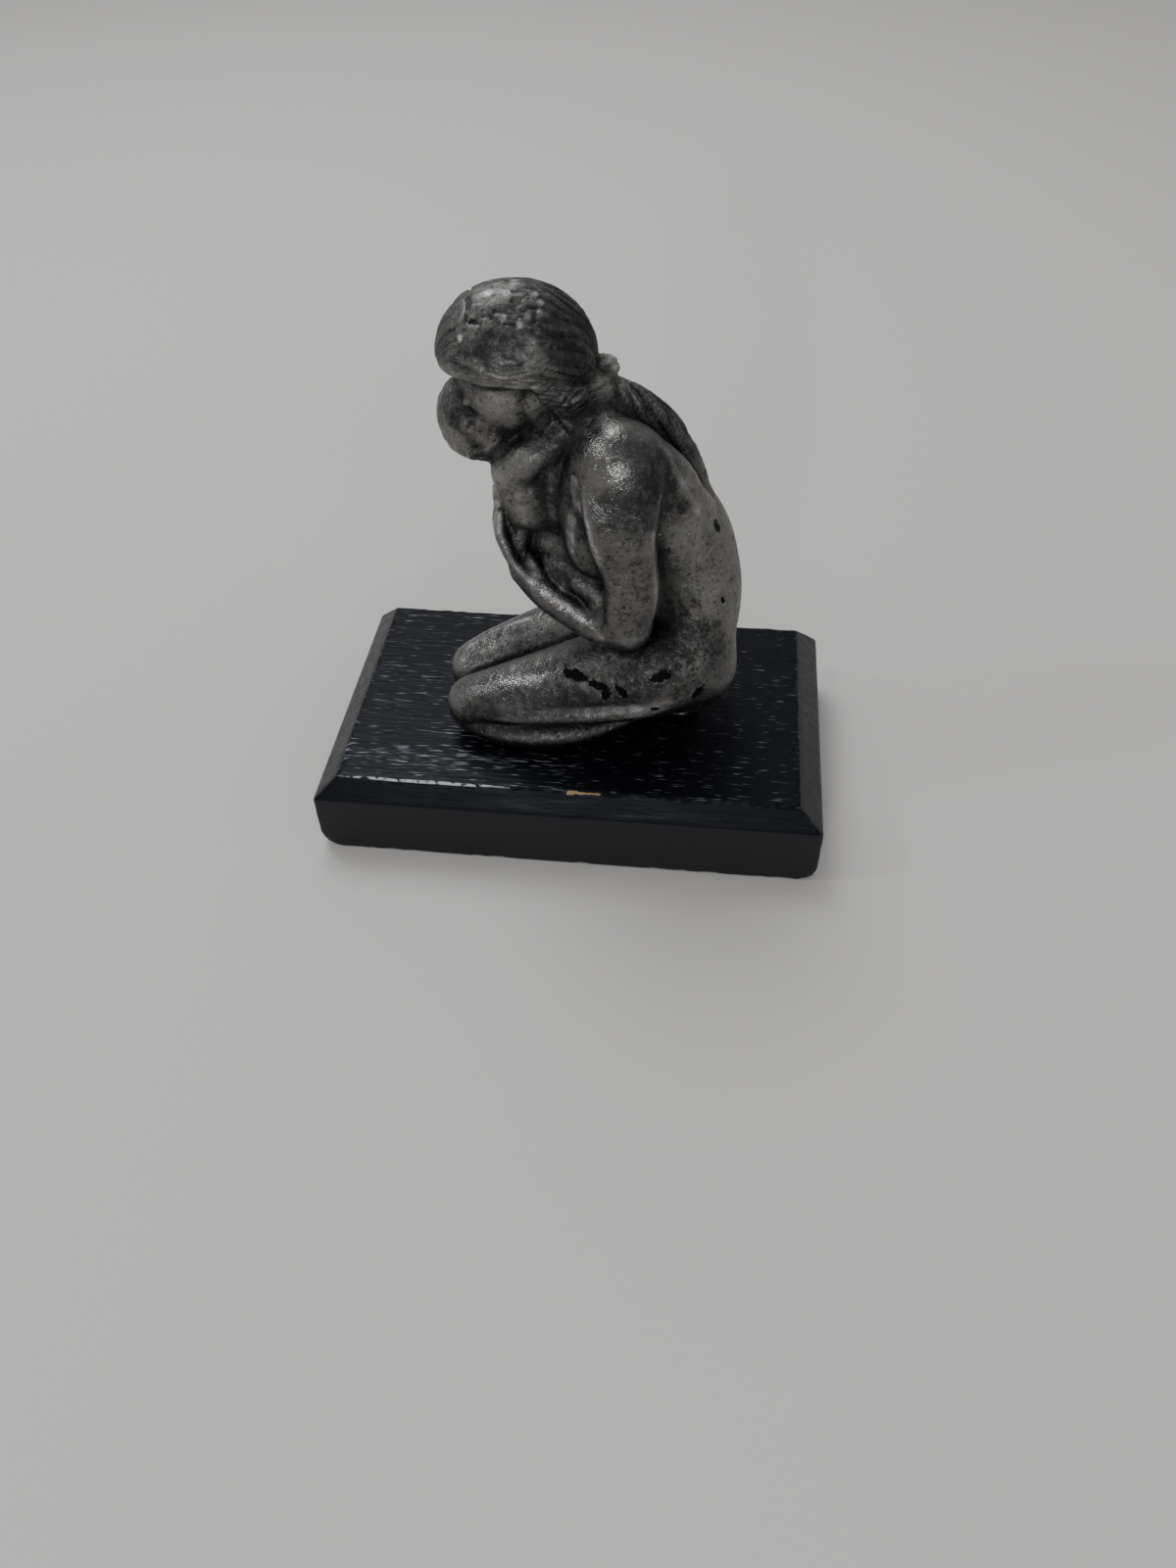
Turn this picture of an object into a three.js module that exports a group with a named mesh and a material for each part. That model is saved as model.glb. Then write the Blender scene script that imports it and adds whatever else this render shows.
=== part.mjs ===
// A statuette of a kneeling mother who bends over the child in her arms, cast in one piece of dark metal,
// on a black painted wooden plinth with bevelled upper edges.
// Millimetres, +Z up. The origin is the middle of the plinth's underside.
// She faces -X, and her left side is -Y.
import * as THREE from "three";

// Driving dimensions of the plinth.
const plinth = { length: 100, depth: 60, height: 18, bevelRise: 4.6, endBevel: 4.9, sideBevel: 2.8 };
// The casting stands slightly askew on the plinth, with a glue gap under it.
const standsAt = { x: 0, y: -2.6, turn: 7, glueGap: 0.3 };

// Driving sizes of the casting, in its own frame: the plinth's top is z = 0, and her middle plane is y = 0.
const mesh = { cell: 1.0, triangles: 8600 };
const head = { centre: [-8.5, 0, 76.2], radii: [13.3, 10, 11.5], tilt: 4 };
const knot = [5.0, 0.2, 71.6];
const brow = [-21, 0, 73];
const locks = { count: 16, depth: 0.6 };
// Her shoulders tip: the far one hangs lower by this share of its distance from the middle plane.
const shoulderTip = 0.13;
const farArmDrop = 2.2;
// The flat faces of an upper arm, from the shoulder to the elbow: height, front, rear, outer and inner face.
const armFaces = [
  [63.5, 2.2, 14.6, 12.4, 3.0],
  [59.5, 0.9, 15.2, 15.3, 4.0],
  [55.5, 1.3, 14.5, 17.2, 5.5],
  [50.0, 2.3, 13.9, 18.0, 7.0],
  [45.0, 4.0, 14.2, 17.7, 8.6],
  [41.0, 5.4, 14.6, 17.8, 9.6],
  [37.0, 5.5, 14.4, 17.7, 10.2],
  [33.0, 5.5, 13.6, 17.4, 10.6],
  [29.0, 6.3, 12.6, 16.6, 11.2],
];

// Solids as signed distances: each function of (x, y, z) is negative inside and about the distance outside.

const clamp = (v, low, high) => Math.min(high, Math.max(low, v));

// Two solids joined with a fillet about as wide as the given width.
function smoothMin(a, b, width) {
  const h = Math.max(width - Math.abs(a - b), 0) / width;
  return Math.min(a, b) - (h * h * width) / 4;
}

const smoothMax = (a, b, width) => -smoothMin(-a, -b, width);

const join = (width, ...solids) => (x, y, z) => {
  let d = solids[0](x, y, z);
  for (let i = 1; i < solids.length; i++) d = smoothMin(d, solids[i](x, y, z), width);
  return d;
};

const cut = (width, solid, tool) => (x, y, z) => smoothMax(solid(x, y, z), -tool(x, y, z), width);

const ball = ([cx, cy, cz], r) => (x, y, z) => Math.hypot(x - cx, y - cy, z - cz) - r;

// An ellipsoid, turned by tilt degrees about Y (its +X end goes down), then by turn degrees about Z.
function egg([cx, cy, cz], [rx, ry, rz], tilt = 0, turn = 0) {
  const [ct, st] = [Math.cos((tilt * Math.PI) / 180), Math.sin((tilt * Math.PI) / 180)];
  const [cu, su] = [Math.cos((turn * Math.PI) / 180), Math.sin((turn * Math.PI) / 180)];
  return (x, y, z) => {
    const [dx, dy, dz] = [x - cx, y - cy, z - cz];
    const [px, py] = [dx * cu + dy * su, -dx * su + dy * cu];
    const [qx, qz] = [px * ct - dz * st, px * st + dz * ct];
    const k = Math.hypot(qx / rx, py / ry, qz / rz);
    const g = Math.hypot(qx / (rx * rx), py / (ry * ry), qz / (rz * rz));
    return g < 1e-9 ? -Math.min(rx, ry, rz) : (k * (k - 1)) / g;
  };
}

// Far from the box round some points [x, y, z, radius], the distance to that box stands for the solid's own.
function within(points, solid) {
  const low = [0, 1, 2].map((m) => Math.min(...points.map((p) => p[m] - p[3])));
  const high = [0, 1, 2].map((m) => Math.max(...points.map((p) => p[m] + p[3])));
  const gap = (v, m) => Math.max(low[m] - v, 0, v - high[m]);
  return (x, y, z) => {
    const far = Math.hypot(gap(x, 0), gap(y, 1), gap(z, 2));
    return far > 4 ? far : solid(x, y, z);
  };
}

// A value on a smooth curve through the stations' values, where u counts spans from the first station.
function eased(values, u) {
  const j = Math.min(values.length - 2, Math.floor(u));
  const f = u - j;
  const [a, b] = [values[j], values[j + 1]];
  const before = j > 0 ? values[j - 1] : 2 * a - b;
  const after = j < values.length - 2 ? values[j + 2] : 2 * b - a;
  const [t1, t2] = [(b - before) / 2, (after - a) / 2];
  return a + t1 * f + (3 * (b - a) - 2 * t1 - t2) * f ** 2 + (t1 + t2 - 2 * (b - a)) * f ** 3;
}

// Points on one smooth curve through stations [x, y, z, radii...], with so many steps in each span.
function smoothLine(stations, steps) {
  const spots = stations.map(([x, y, z]) => new THREE.Vector3(x, y, z));
  const curve = new THREE.CatmullRomCurve3(spots, false, "centripetal");
  const radii = stations[0].slice(3).map((_, m) => stations.map((station) => station[m + 3]));
  const count = (stations.length - 1) * steps;
  const line = [];
  for (let i = 0; i <= count; i++) {
    const p = curve.getPoint(i / count);
    line.push([p.x, p.y, p.z, ...radii.map((values) => eased(values, i / steps))]);
  }
  return line;
}

// A limb through stations [x, y, z, radius] on one smooth curve. With a flat share f under 1 its section is
// an ellipse, f times as thick along the given direction.
function limb(stations, flat = 1, along = [0, 0, 1]) {
  const points = smoothLine(stations, 4);
  const steps = points.length - 1;
  const n = new THREE.Vector3(...along).normalize();
  const stretch = 1 / flat - 1;
  return within(points, (x, y, z) => {
    let best = Infinity;
    for (let i = 0; i < steps; i++) {
      const [ax, ay, az, ar] = points[i];
      const [bx, by, bz, br] = points[i + 1];
      const [ex, ey, ez] = [bx - ax, by - ay, bz - az];
      let [px, py, pz] = [x - ax, y - ay, z - az];
      const t = clamp((px * ex + py * ey + pz * ez) / (ex * ex + ey * ey + ez * ez), 0, 1);
      px -= t * ex;
      py -= t * ey;
      pz -= t * ez;
      const r = ar + (br - ar) * t;
      if (stretch > 0) {
        const off = (px * n.x + py * n.y + pz * n.z) * stretch;
        const k = Math.hypot(px + off * n.x, py + off * n.y, pz + off * n.z);
        best = Math.min(best, ((k - r) * Math.hypot(px, py, pz)) / Math.max(k, 1e-9));
      } else best = Math.min(best, Math.hypot(px, py, pz) - r);
    }
    return best;
  });
}

// The trunk: stations [x, z, half depth, half width] in her middle plane, with an oval section square to
// its line.
function trunk(stations) {
  const line = smoothLine(stations.map(([x, z, deep, wide]) => [x, 0, z, deep, wide]), 6);
  return (x, y, z) => {
    let [best, nearest] = [Infinity, 0];
    for (let i = 0; i < line.length - 1; i++) {
      const [ax, , az, ad, aw] = line[i];
      const [bx, , bz, bd, bw] = line[i + 1];
      const [ex, ez] = [bx - ax, bz - az];
      const t = clamp(((x - ax) * ex + (z - az) * ez) / (ex * ex + ez * ez), 0, 1);
      const off = Math.hypot(x - ax - t * ex, z - az - t * ez);
      if (off > best + 1e-6) continue;
      const deep = ad + (bd - ad) * t;
      const wide = aw + (bw - aw) * t;
      const k = Math.hypot(off / deep, y / wide);
      const g = Math.hypot(off / (deep * deep), y / (wide * wide));
      [best, nearest] = [off, g < 1e-9 ? -deep : (k * (k - 1)) / g];
    }
    return nearest;
  };
}

// Both sides at once: the solid is made for +Y, and the other side is its mirror image.
const bothSides = (solid) => (x, y, z) => solid(x, Math.abs(y), z);

// Her body, from the knees up.

function lowerBody() {
  const calf = limb([
    [-20.5, 5.8, 3.6, 4.8],
    [-14, 9.0, 3.4, 5.1],
    [-7, 9.9, 3.4, 5.1],
    [0, 9.2, 3.3, 4.9],
    [6, 7.2, 3.2, 4.1],
    [11, 5.0, 3.0, 3.0],
  ], 0.72);
  const foot = limb([[11, 4.8, 3.0, 2.7], [15, 3.7, 2.8, 2.5], [19.0, 3.0, 2.3, 2.1], [22.4, 2.7, 1.7, 1.5]]);
  const heel = ball([13.0, 4.4, 4.2], 2.6);
  const knee = egg([-20.8, 5.4, 5.9], [4.9, 5.0, 5.4]);
  const thigh = limb([
    [-21, 5.4, 6.6, 4.6],
    [-17, 6.1, 8.0, 5.8],
    [-8, 7.0, 11.0, 6.8],
    [3, 7.8, 14.6, 8.0],
    [13, 8.7, 17.2, 9.2],
  ]);
  // The thigh spreads a little where it presses on the calf.
  const spread = limb([
    [-22.6, 7.8, 7.0, 1.7],
    [-14, 11.5, 8.0, 1.9],
    [-3, 13.8, 10.1, 2.1],
    [6, 15.2, 11.9, 2.3],
    [14, 15.9, 14.1, 2.4],
    [20, 14.2, 15.8, 2.1],
  ]);
  const upper = join(0.4, join(2.0, thigh, knee), spread);
  return bothSides(join(0.5, join(1.2, calf, foot, heel), upper));
}

function torso() {
  const body = trunk([
    [20.0, 18, 10.6, 13.2],
    [22.6, 27, 8.8, 11.6],
    [22.4, 34, 8.4, 10.6],
    [20.0, 41.5, 8.3, 10.9],
    [14.9, 48.6, 8.2, 11.9],
    [9.8, 55.2, 7.8, 12.2],
    [5.2, 60.8, 6.2, 9.6],
    [2.0, 65, 5.2, 6.2],
  ]);
  const buttock = bothSides(egg([20.8, 7.2, 16.6], [9.7, 8.9, 9.9]));
  const hip = bothSides(egg([14.5, 9.6, 17.6], [9.0, 8.2, 8.8]));
  const breast = bothSides(limb([
    [3.0, 7.4, 59.0, 4.6],
    [2.4, 8.8, 54.0, 4.9],
    [2.5, 9.1, 49.0, 4.9],
    [3.5, 8.9, 44.6, 4.6],
    [5.4, 8.3, 40.8, 3.4],
  ]));
  const blade = bothSides(limb([[20.0, 5.4, 49.0, 3.8], [15.6, 6.2, 55.2, 5.1], [10.4, 6.2, 60.4, 4.9]]));
  const bladeEdge = bothSides(limb([[14.6, 9.4, 60.6, 1.5], [17.6, 9.2, 56.6, 1.6], [20.2, 8.6, 51.6, 1.3]]));
  return join(1.4, join(2.6, join(3.0, body, buttock, hip), join(1.2, blade, bladeEdge)), breast);
}

function shoulders() {
  return bothSides(limb([
    [1.5, 3, 65.8, 4.6],
    [5.4, 6.4, 62.4, 5.6],
    [7.6, 8.8, 60.0, 7.0],
    [8.4, 10.0, 56.8, 7.0],
  ]));
}

// Tips a solid's upper part, so that its far side hangs lower.
const tipped = (solid) => (x, y, z) => solid(x, y, z + shoulderTip * y * clamp((z - 42) / 16, 0, 1));

// Fine furrows between the fingers of a hand that lies on the far side of the start point from its wrist.
const fingers = (solid, [sx, sy, sz], [ax, ay, az]) => (x, y, z) => {
  const past = (x - sx) * ax + (y - sy) * ay + (z - sz) * az;
  const across = (y - sy) - ay * past;
  return solid(x, y, z) + 0.35 * clamp(past / 2, 0, 1) * (0.5 + 0.5 * Math.cos(3.4 * across)) ** 2;
};

// A broad, flat-faced upper arm with a ridge down its front and its back. drop is how much lower it hangs.
function upperArm(side, drop) {
  const columns = armFaces[0].map((_, m) => armFaces.map((row) => row[m]));
  const table = [];
  const rows = (armFaces.length - 1) * 6;
  for (let i = 0; i <= rows; i++) table.push(columns.map((values) => eased(values, i / 6)));
  const slab = (x, y, z) => {
    const height = z + drop * clamp((z - 38) / 18, 0, 1);
    const reached = table.findIndex((row) => row[0] <= height);
    const j = reached < 0 ? table.length - 1 : Math.max(reached, 1);
    const [above, below] = [table[j - 1], table[j]];
    const f = clamp((height - above[0]) / (below[0] - above[0]), 0, 1);
    const [front, rear, outer, inner] = [1, 2, 3, 4].map((m) => above[m] + (below[m] - above[m]) * f);
    const [halfX, halfY] = [(rear - front) / 2, (outer - inner) / 2];
    const u = (x - (front + rear) / 2) / halfX;
    const v = (y * side - (outer + inner) / 2) / halfY;
    const k = Math.max((u ** 4 + v ** 4) ** 0.25, 1e-6);
    const slope = Math.hypot(u ** 3 / halfX, v ** 3 / halfY) / k ** 3;
    return smoothMax(((k - 1) / Math.max(slope, 1e-6)) * 0.8, Math.max(29.5 - height, height - 63), 3);
  };
  const core = limb([
    [8.2, side * 9.4, 59.6 - drop, 7.0],
    [8.0, side * 12.0, 50.5 - drop * 0.7, 5.2],
    [9.7, side * 13.4, 42, 4.3],
    [9.4, side * 14.0, 34, 4.0],
    [9.4, side * 14.0, 31.2, 4.1],
  ]);
  return join(1.2, core, within([[8, side * 11, 62, 9], [9, side * 13, 31, 8]], slab));
}

// The arm on her left: it hangs to the elbow over the hip, and its hand cups the child's seat.
function nearArm() {
  const fore = limb([
    [9.3, -14.2, 31.2, 3.9],
    [4.8, -12.8, 30.4, 3.5],
    [1.0, -11.3, 31.5, 3.1],
    [-5.2, -9.6, 35.8, 3.0],
    [-9.0, -8.2, 39.6, 2.6],
  ]);
  const palm = limb([
    [-7.6, -8.4, 38.4, 3.2],
    [-10.6, -7.0, 42.0, 3.6],
    [-12.3, -5.9, 46.6, 3.3],
    [-12.4, -5.0, 50.8, 2.3],
  ], 0.42, [1, 0, 0.45]);
  const pad = egg([-9.9, -4.4, 44.0], [2.7, 4.2, 5.4], 12);
  const thumb = limb([[-6.4, -9.2, 39.4, 2.0], [-7.2, -9.0, 41.6, 1.5], [-7.9, -8.4, 43.4, 1.0]]);
  const hand = join(0.5, join(1.0, fingers(palm, [-11.8, -6, 45], [0, 0, 1]), pad), thumb);
  const crook = limb([[0.6, -9.2, 38.4, 2.6], [3.4, -10.4, 36.8, 2.7], [5.0, -11.6, 34.0, 2.8]]);
  return join(1.0, join(0.7, upperArm(-1, 0), crook), join(1.4, fore, hand));
}

function farArm() {
  const fore = limb([
    [8.9, 14.4, 32.0, 3.9],
    [4, 12.6, 31.2, 3.5],
    [-1, 10.2, 32.6, 3.1],
    [-5.5, 7.4, 35.8, 3.0],
    [-8.2, 4.8, 38.8, 2.7],
  ]);
  const palm = limb([
    [-7.0, 5.8, 37.6, 3.2],
    [-10.2, 2.2, 41.4, 3.6],
    [-12.0, 0.4, 45.6, 3.2],
    [-12.5, -0.6, 49.4, 2.3],
  ], 0.42, [1, 0.3, 0.45]);
  const crook = limb([[0.6, 8.4, 37.6, 2.4], [3.4, 9.6, 35.8, 2.3], [4.6, 11.0, 33.4, 2.4]]);
  const hand = fingers(palm, [-11.6, 0, 44.5], [0, 0, 1]);
  return join(1.0, join(0.7, upperArm(1, farArmDrop), crook), join(1.4, fore, hand));
}

// How far above (+) or below (-) the hairline a point lies: the line runs level from the brow to the ear,
// then turns down behind it.
const aboveHairline = (x, z) => z - 74.4 + 0.04 * (x + 13) + Math.max(0, x + 6.2) * 1.3;

// Shallow furrows between locks that are combed from the brow to the knot.
function furrows(x, y, z) {
  const along = (x - brow[0]) / (knot[0] - brow[0]);
  const axis = brow[2] + (knot[2] - brow[2]) * along;
  const round = Math.atan2(y, z - axis);
  const wave = 0.5 * Math.sin(2 * round + 7 * along) + 0.35 * Math.sin(11 * along + 3 * round);
  const fade = clamp(1.4 - Math.abs(2.2 * along - 1.1), 0, 1);
  return locks.depth * fade * (0.5 + 0.5 * Math.cos(locks.count * round + wave * 2)) ** 2;
}

function headAndNeck() {
  const skull = egg(head.centre, head.radii, head.tilt);
  const nape = bothSides(limb([[3.0, 2.5, 70.4, 4.2], [0, 3.9, 69.0, 4.4], [-3.5, 4.6, 69.6, 4.2]]));
  const cap = join(1.5, skull, nape);
  const hair = (x, y, z) => Math.max(cap(x, y, z) + furrows(x, y, z), -aboveHairline(x, z));
  const face = egg([-11.0, 0, 71.4], [7.2, 8.7, 7.6], -25);
  const jaw = egg([-9.0, 0, 68.2], [5.0, 6.8, 4.5]);
  const neck = limb([[6, 0, 63, 6.2], [1.0, 0, 67.5, 5.8], [-3, 0, 71.5, 6.2]]);
  return join(1.6, join(0.5, hair, join(1.8, face, jaw)), neck);
}

function hairTail() {
  const bun = join(0.3,
    egg(knot, [3.1, 3.1, 3.2]),
    egg([5.7, 0.0, 73.3], [2.5, 2.6, 2.2]),
    egg([2.6, -1.7, 70.5], [2.2, 2.1, 2.3], 20),
    egg([5.5, -1.0, 69.9], [2.2, 2.2, 2.1]),
    egg([7.8, -0.3, 70.1], [1.7, 1.9, 1.7]),
    egg([3.2, 2.3, 70.2], [2.4, 2.1, 2.4]));
  const tail = limb([
    [6.6, 0, 70.2, 2.2],
    [10.4, 0.6, 66.7, 3.2],
    [15.4, 0.8, 62.2, 3.3],
    [18.8, 0.7, 57.3, 2.9],
    [21.7, 0.5, 53.0, 2.0],
    [23.6, 0.4, 50.0, 0.9],
  ]);
  const strands = (x, y, z) => 0.25 * Math.cos(2.6 * (y + 0.25 * (z - 60)));
  return join(0.7, bun, (x, y, z) => tail(x, y, z) + strands(x, y, z));
}

// The two dark gaps along the hair tail, where it lies between her shoulder blades.
function besideTail() {
  const near = limb([
    [8.4, -4.2, 67.6, 1.3],
    [12.4, -3.8, 65.0, 1.7],
    [16.4, -3.2, 61.0, 1.7],
    [19.8, -2.6, 56.4, 1.3],
    [22.4, -1.8, 52.4, 0.8],
  ]);
  const far = limb([
    [8.8, 5.0, 66.4, 1.2],
    [12.8, 4.8, 63.8, 1.6],
    [16.8, 4.2, 59.8, 1.5],
    [20.0, 3.2, 55.6, 1.1],
    [22.4, 2.4, 52.2, 0.7],
  ]);
  return join(0.5, near, far);
}

function childsHead() {
  const skull = egg([-15.2, 0.4, 65.2], [7.5, 7.2, 7.9]);
  const ear = (side) => egg([-17.6, 0.4 + side * 5.9, 68.0], [1.7, 1.1, 2.0], 25);
  return join(0.6, skull, ear(-1), ear(1));
}

// The child: its head under her brow, its arms round her neck, and its legs folded against her belly.
function child() {
  const body = limb([[-9.2, -1.5, 59.5, 4.4], [-8.3, -2.8, 55, 5.4], [-7.6, -3.0, 50.6, 5.6]]);
  const neck = limb([[-13, 0, 61.5, 3.4], [-9.4, -1.5, 58.5, 3.6]]);
  const nearHug = limb([
    [-10.2, -4.4, 57.2, 3.7],
    [-7.4, -5.6, 60.2, 3.5],
    [-3.4, -6.0, 63.0, 3.0],
    [0.2, -6.2, 65.8, 2.4],
  ]);
  const nearHand = join(0.4,
    egg([-4.4, -6.2, 67.2], [2.1, 2.0, 1.9]),
    egg([-1.8, -6.9, 67.6], [2.2, 1.8, 1.7]),
    egg([0.9, -7.2, 66.4], [1.9, 1.7, 1.8]),
    egg([-2.8, -6.8, 65.4], [2.2, 1.7, 1.7]),
    egg([-1.0, -6.4, 69.0], [2.2, 1.9, 1.6]));
  const farHug = limb([
    [-10.2, 3.4, 56.8, 3.5],
    [-7.2, 5.4, 59.6, 3.3],
    [-3.2, 6.2, 62.2, 2.8],
    [0.4, 6.4, 64.4, 2.2],
  ]);
  const seat = egg([-6.2, 0.0, 43.0], [5.6, 6.9, 6.4]);
  const lapSides = bothSides(egg([-0.5, 6.4, 39.4], [7.0, 4.2, 5.0]));
  const lap = join(1.0, egg([-1.0, 0.2, 40.4], [6.6, 8.8, 6.2]), lapSides);
  const nearLeg = limb([
    [-4.5, -4.6, 43.4, 3.5],
    [0.6, -7.4, 42.4, 3.0],
    [1.6, -8.2, 39.0, 2.4],
    [-1.6, -9.0, 37.4, 2.0],
  ]);
  const farLeg = limb([
    [-4.5, 4.4, 43.2, 3.2],
    [1.8, 6.6, 41.0, 2.7],
    [2.2, 7.2, 37.6, 2.2],
    [-1.8, 7.4, 36.2, 2.0],
  ]);
  const chest = bothSides(limb([[-3.0, 4.6, 62.4, 3.4], [-2.4, 5.4, 57.0, 3.5], [-2.0, 5.8, 51.0, 3.5]]));
  const collar = egg([-4.8, 0, 59.6], [3.6, 4.8, 3.6]);
  const heldAgainst = join(2.0, egg([-0.8, 0.4, 48.6], [7.5, 8.4, 12.4]), collar, chest);
  const throat = egg([-4.4, 0.2, 64.8], [5.6, 7.4, 4.4]);
  const upper = join(0.8, join(1.2, childsHead(), neck, body), join(0.5, nearHug, nearHand), farHug);
  const lower = join(0.6, join(1.0, seat, lap), nearLeg, farLeg);
  return join(0.8, upper, lower, join(1.0, heldAgainst, throat));
}

function casting() {
  const upperBody = cut(0.8, tipped(join(2.2, torso(), shoulders())), besideTail());
  const withArms = join(0.8, join(1.6, lowerBody(), upperBody), join(0.4, nearArm(), farArm()));
  const mother = join(0.8, withArms, headAndNeck(), hairTail());
  const all = join(0.5, mother, child());
  return (x, y, z) => Math.max(all(x, y, z), 0.02 - z);
}

// Turns a distance function into a closed mesh. Each cube of the grid is split into six tetrahedra round
// one diagonal, and the surface cuts each of them in one or two triangles, with a vertex on every cut edge.
function skin(solid, low, high, cell) {
  const n = low.map((v, i) => Math.ceil((high[i] - v) / cell) + 1);
  const step = [1, n[0], n[0] * n[1]];
  const value = new Float32Array(n[0] * n[1] * n[2]);
  const index = (i, j, k) => i + j * step[1] + k * step[2];
  const at = (i, j, k) => solid(low[0] + i * cell, low[1] + j * cell, low[2] + k * cell);
  const block = 4;
  const upTo = (g, m) => Math.min(g + block, n[m]);
  for (let k = 0; k < n[2]; k += block)
    for (let j = 0; j < n[1]; j += block)
      for (let i = 0; i < n[0]; i += block) {
        const middle = at(i + 1.5, j + 1.5, k + 1.5);
        const clear = Math.abs(middle) > block * cell * 1.3;
        for (let c = k; c < upTo(k, 2); c++)
          for (let b = j; b < upTo(j, 1); b++)
            for (let a = i; a < upTo(i, 0); a++) value[index(a, b, c)] = clear ? middle : at(a, b, c);
      }

  const vertexOf = new Map();
  const vertices = [];
  const triangles = [];
  const placeOf = (node) => {
    const k = Math.floor(node / step[2]);
    const j = Math.floor((node - k * step[2]) / step[1]);
    return [node - k * step[2] - j * step[1], j, k];
  };
  const cutBetween = (a, b) => {
    const key = Math.min(a, b) * value.length + Math.max(a, b);
    if (!vertexOf.has(key)) {
      const t = clamp(value[a] / (value[a] - value[b]), 0.08, 0.92);
      const [from, to] = [placeOf(a), placeOf(b)];
      vertexOf.set(key, vertices.length / 3);
      for (let m = 0; m < 3; m++) vertices.push(low[m] + (from[m] + (to[m] - from[m]) * t) * cell);
    }
    return vertexOf.get(key);
  };
  const turns = [[0, 1, 2], [1, 2, 0], [2, 0, 1], [0, 2, 1], [2, 1, 0], [1, 0, 2]];
  for (let k = 0; k < n[2] - 1; k++)
    for (let j = 0; j < n[1] - 1; j++)
      for (let i = 0; i < n[0] - 1; i++) {
        const here = index(i, j, k);
        turns.forEach(([u, v, w], turn) => {
          const [first, second] = [here + step[u], here + step[u] + step[v]];
          const corners = [here, first, second, second + step[w]];
          const inner = corners.filter((c) => value[c] < 0);
          if (inner.length === 0 || inner.length === 4) return;
          // An even number of swaps sorts the inner corners to the front.
          const outside = corners.map((c) => (value[c] < 0 ? 0 : 1));
          const order = [0, 1, 2, 3].sort((a, b) => outside[a] - outside[b] || a - b);
          let swaps = turn < 3 ? 0 : 1;
          for (let a = 0; a < 4; a++) for (let b = a + 1; b < 4; b++) if (order[a] > order[b]) swaps++;
          const [a, b, c, d] = order.map((o) => corners[o]);
          const face = (...ring) => {
            if (swaps % 2) ring.reverse();
            for (let m = 2; m < ring.length; m++) triangles.push(ring[0], ring[m - 1], ring[m]);
          };
          if (inner.length === 1) face(cutBetween(a, b), cutBetween(a, c), cutBetween(a, d));
          else if (inner.length === 3) face(cutBetween(a, d), cutBetween(b, d), cutBetween(c, d));
          else face(cutBetween(a, c), cutBetween(a, d), cutBetween(b, d), cutBetween(b, c));
        });
      }
  return { vertices: new Float32Array(vertices), triangles: new Uint32Array(triangles) };
}

// Moves each vertex onto the solid's surface along the slope of the distance.
function settle({ vertices, triangles }, solid, reach) {
  const h = 0.05;
  for (let i = 0; i < vertices.length; i += 3) {
    const [x, y, z] = vertices.subarray(i, i + 3);
    const slope = [
      solid(x + h, y, z) - solid(x - h, y, z),
      solid(x, y + h, z) - solid(x, y - h, z),
      solid(x, y, z + h) - solid(x, y, z - h),
    ].map((v) => v / (2 * h));
    const steep = Math.max(0.5, slope[0] ** 2 + slope[1] ** 2 + slope[2] ** 2);
    const shift = clamp(solid(x, y, z) / steep, -reach, reach);
    for (let m = 0; m < 3; m++) vertices[i + m] -= shift * slope[m];
  }
  return { vertices, triangles };
}

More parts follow.
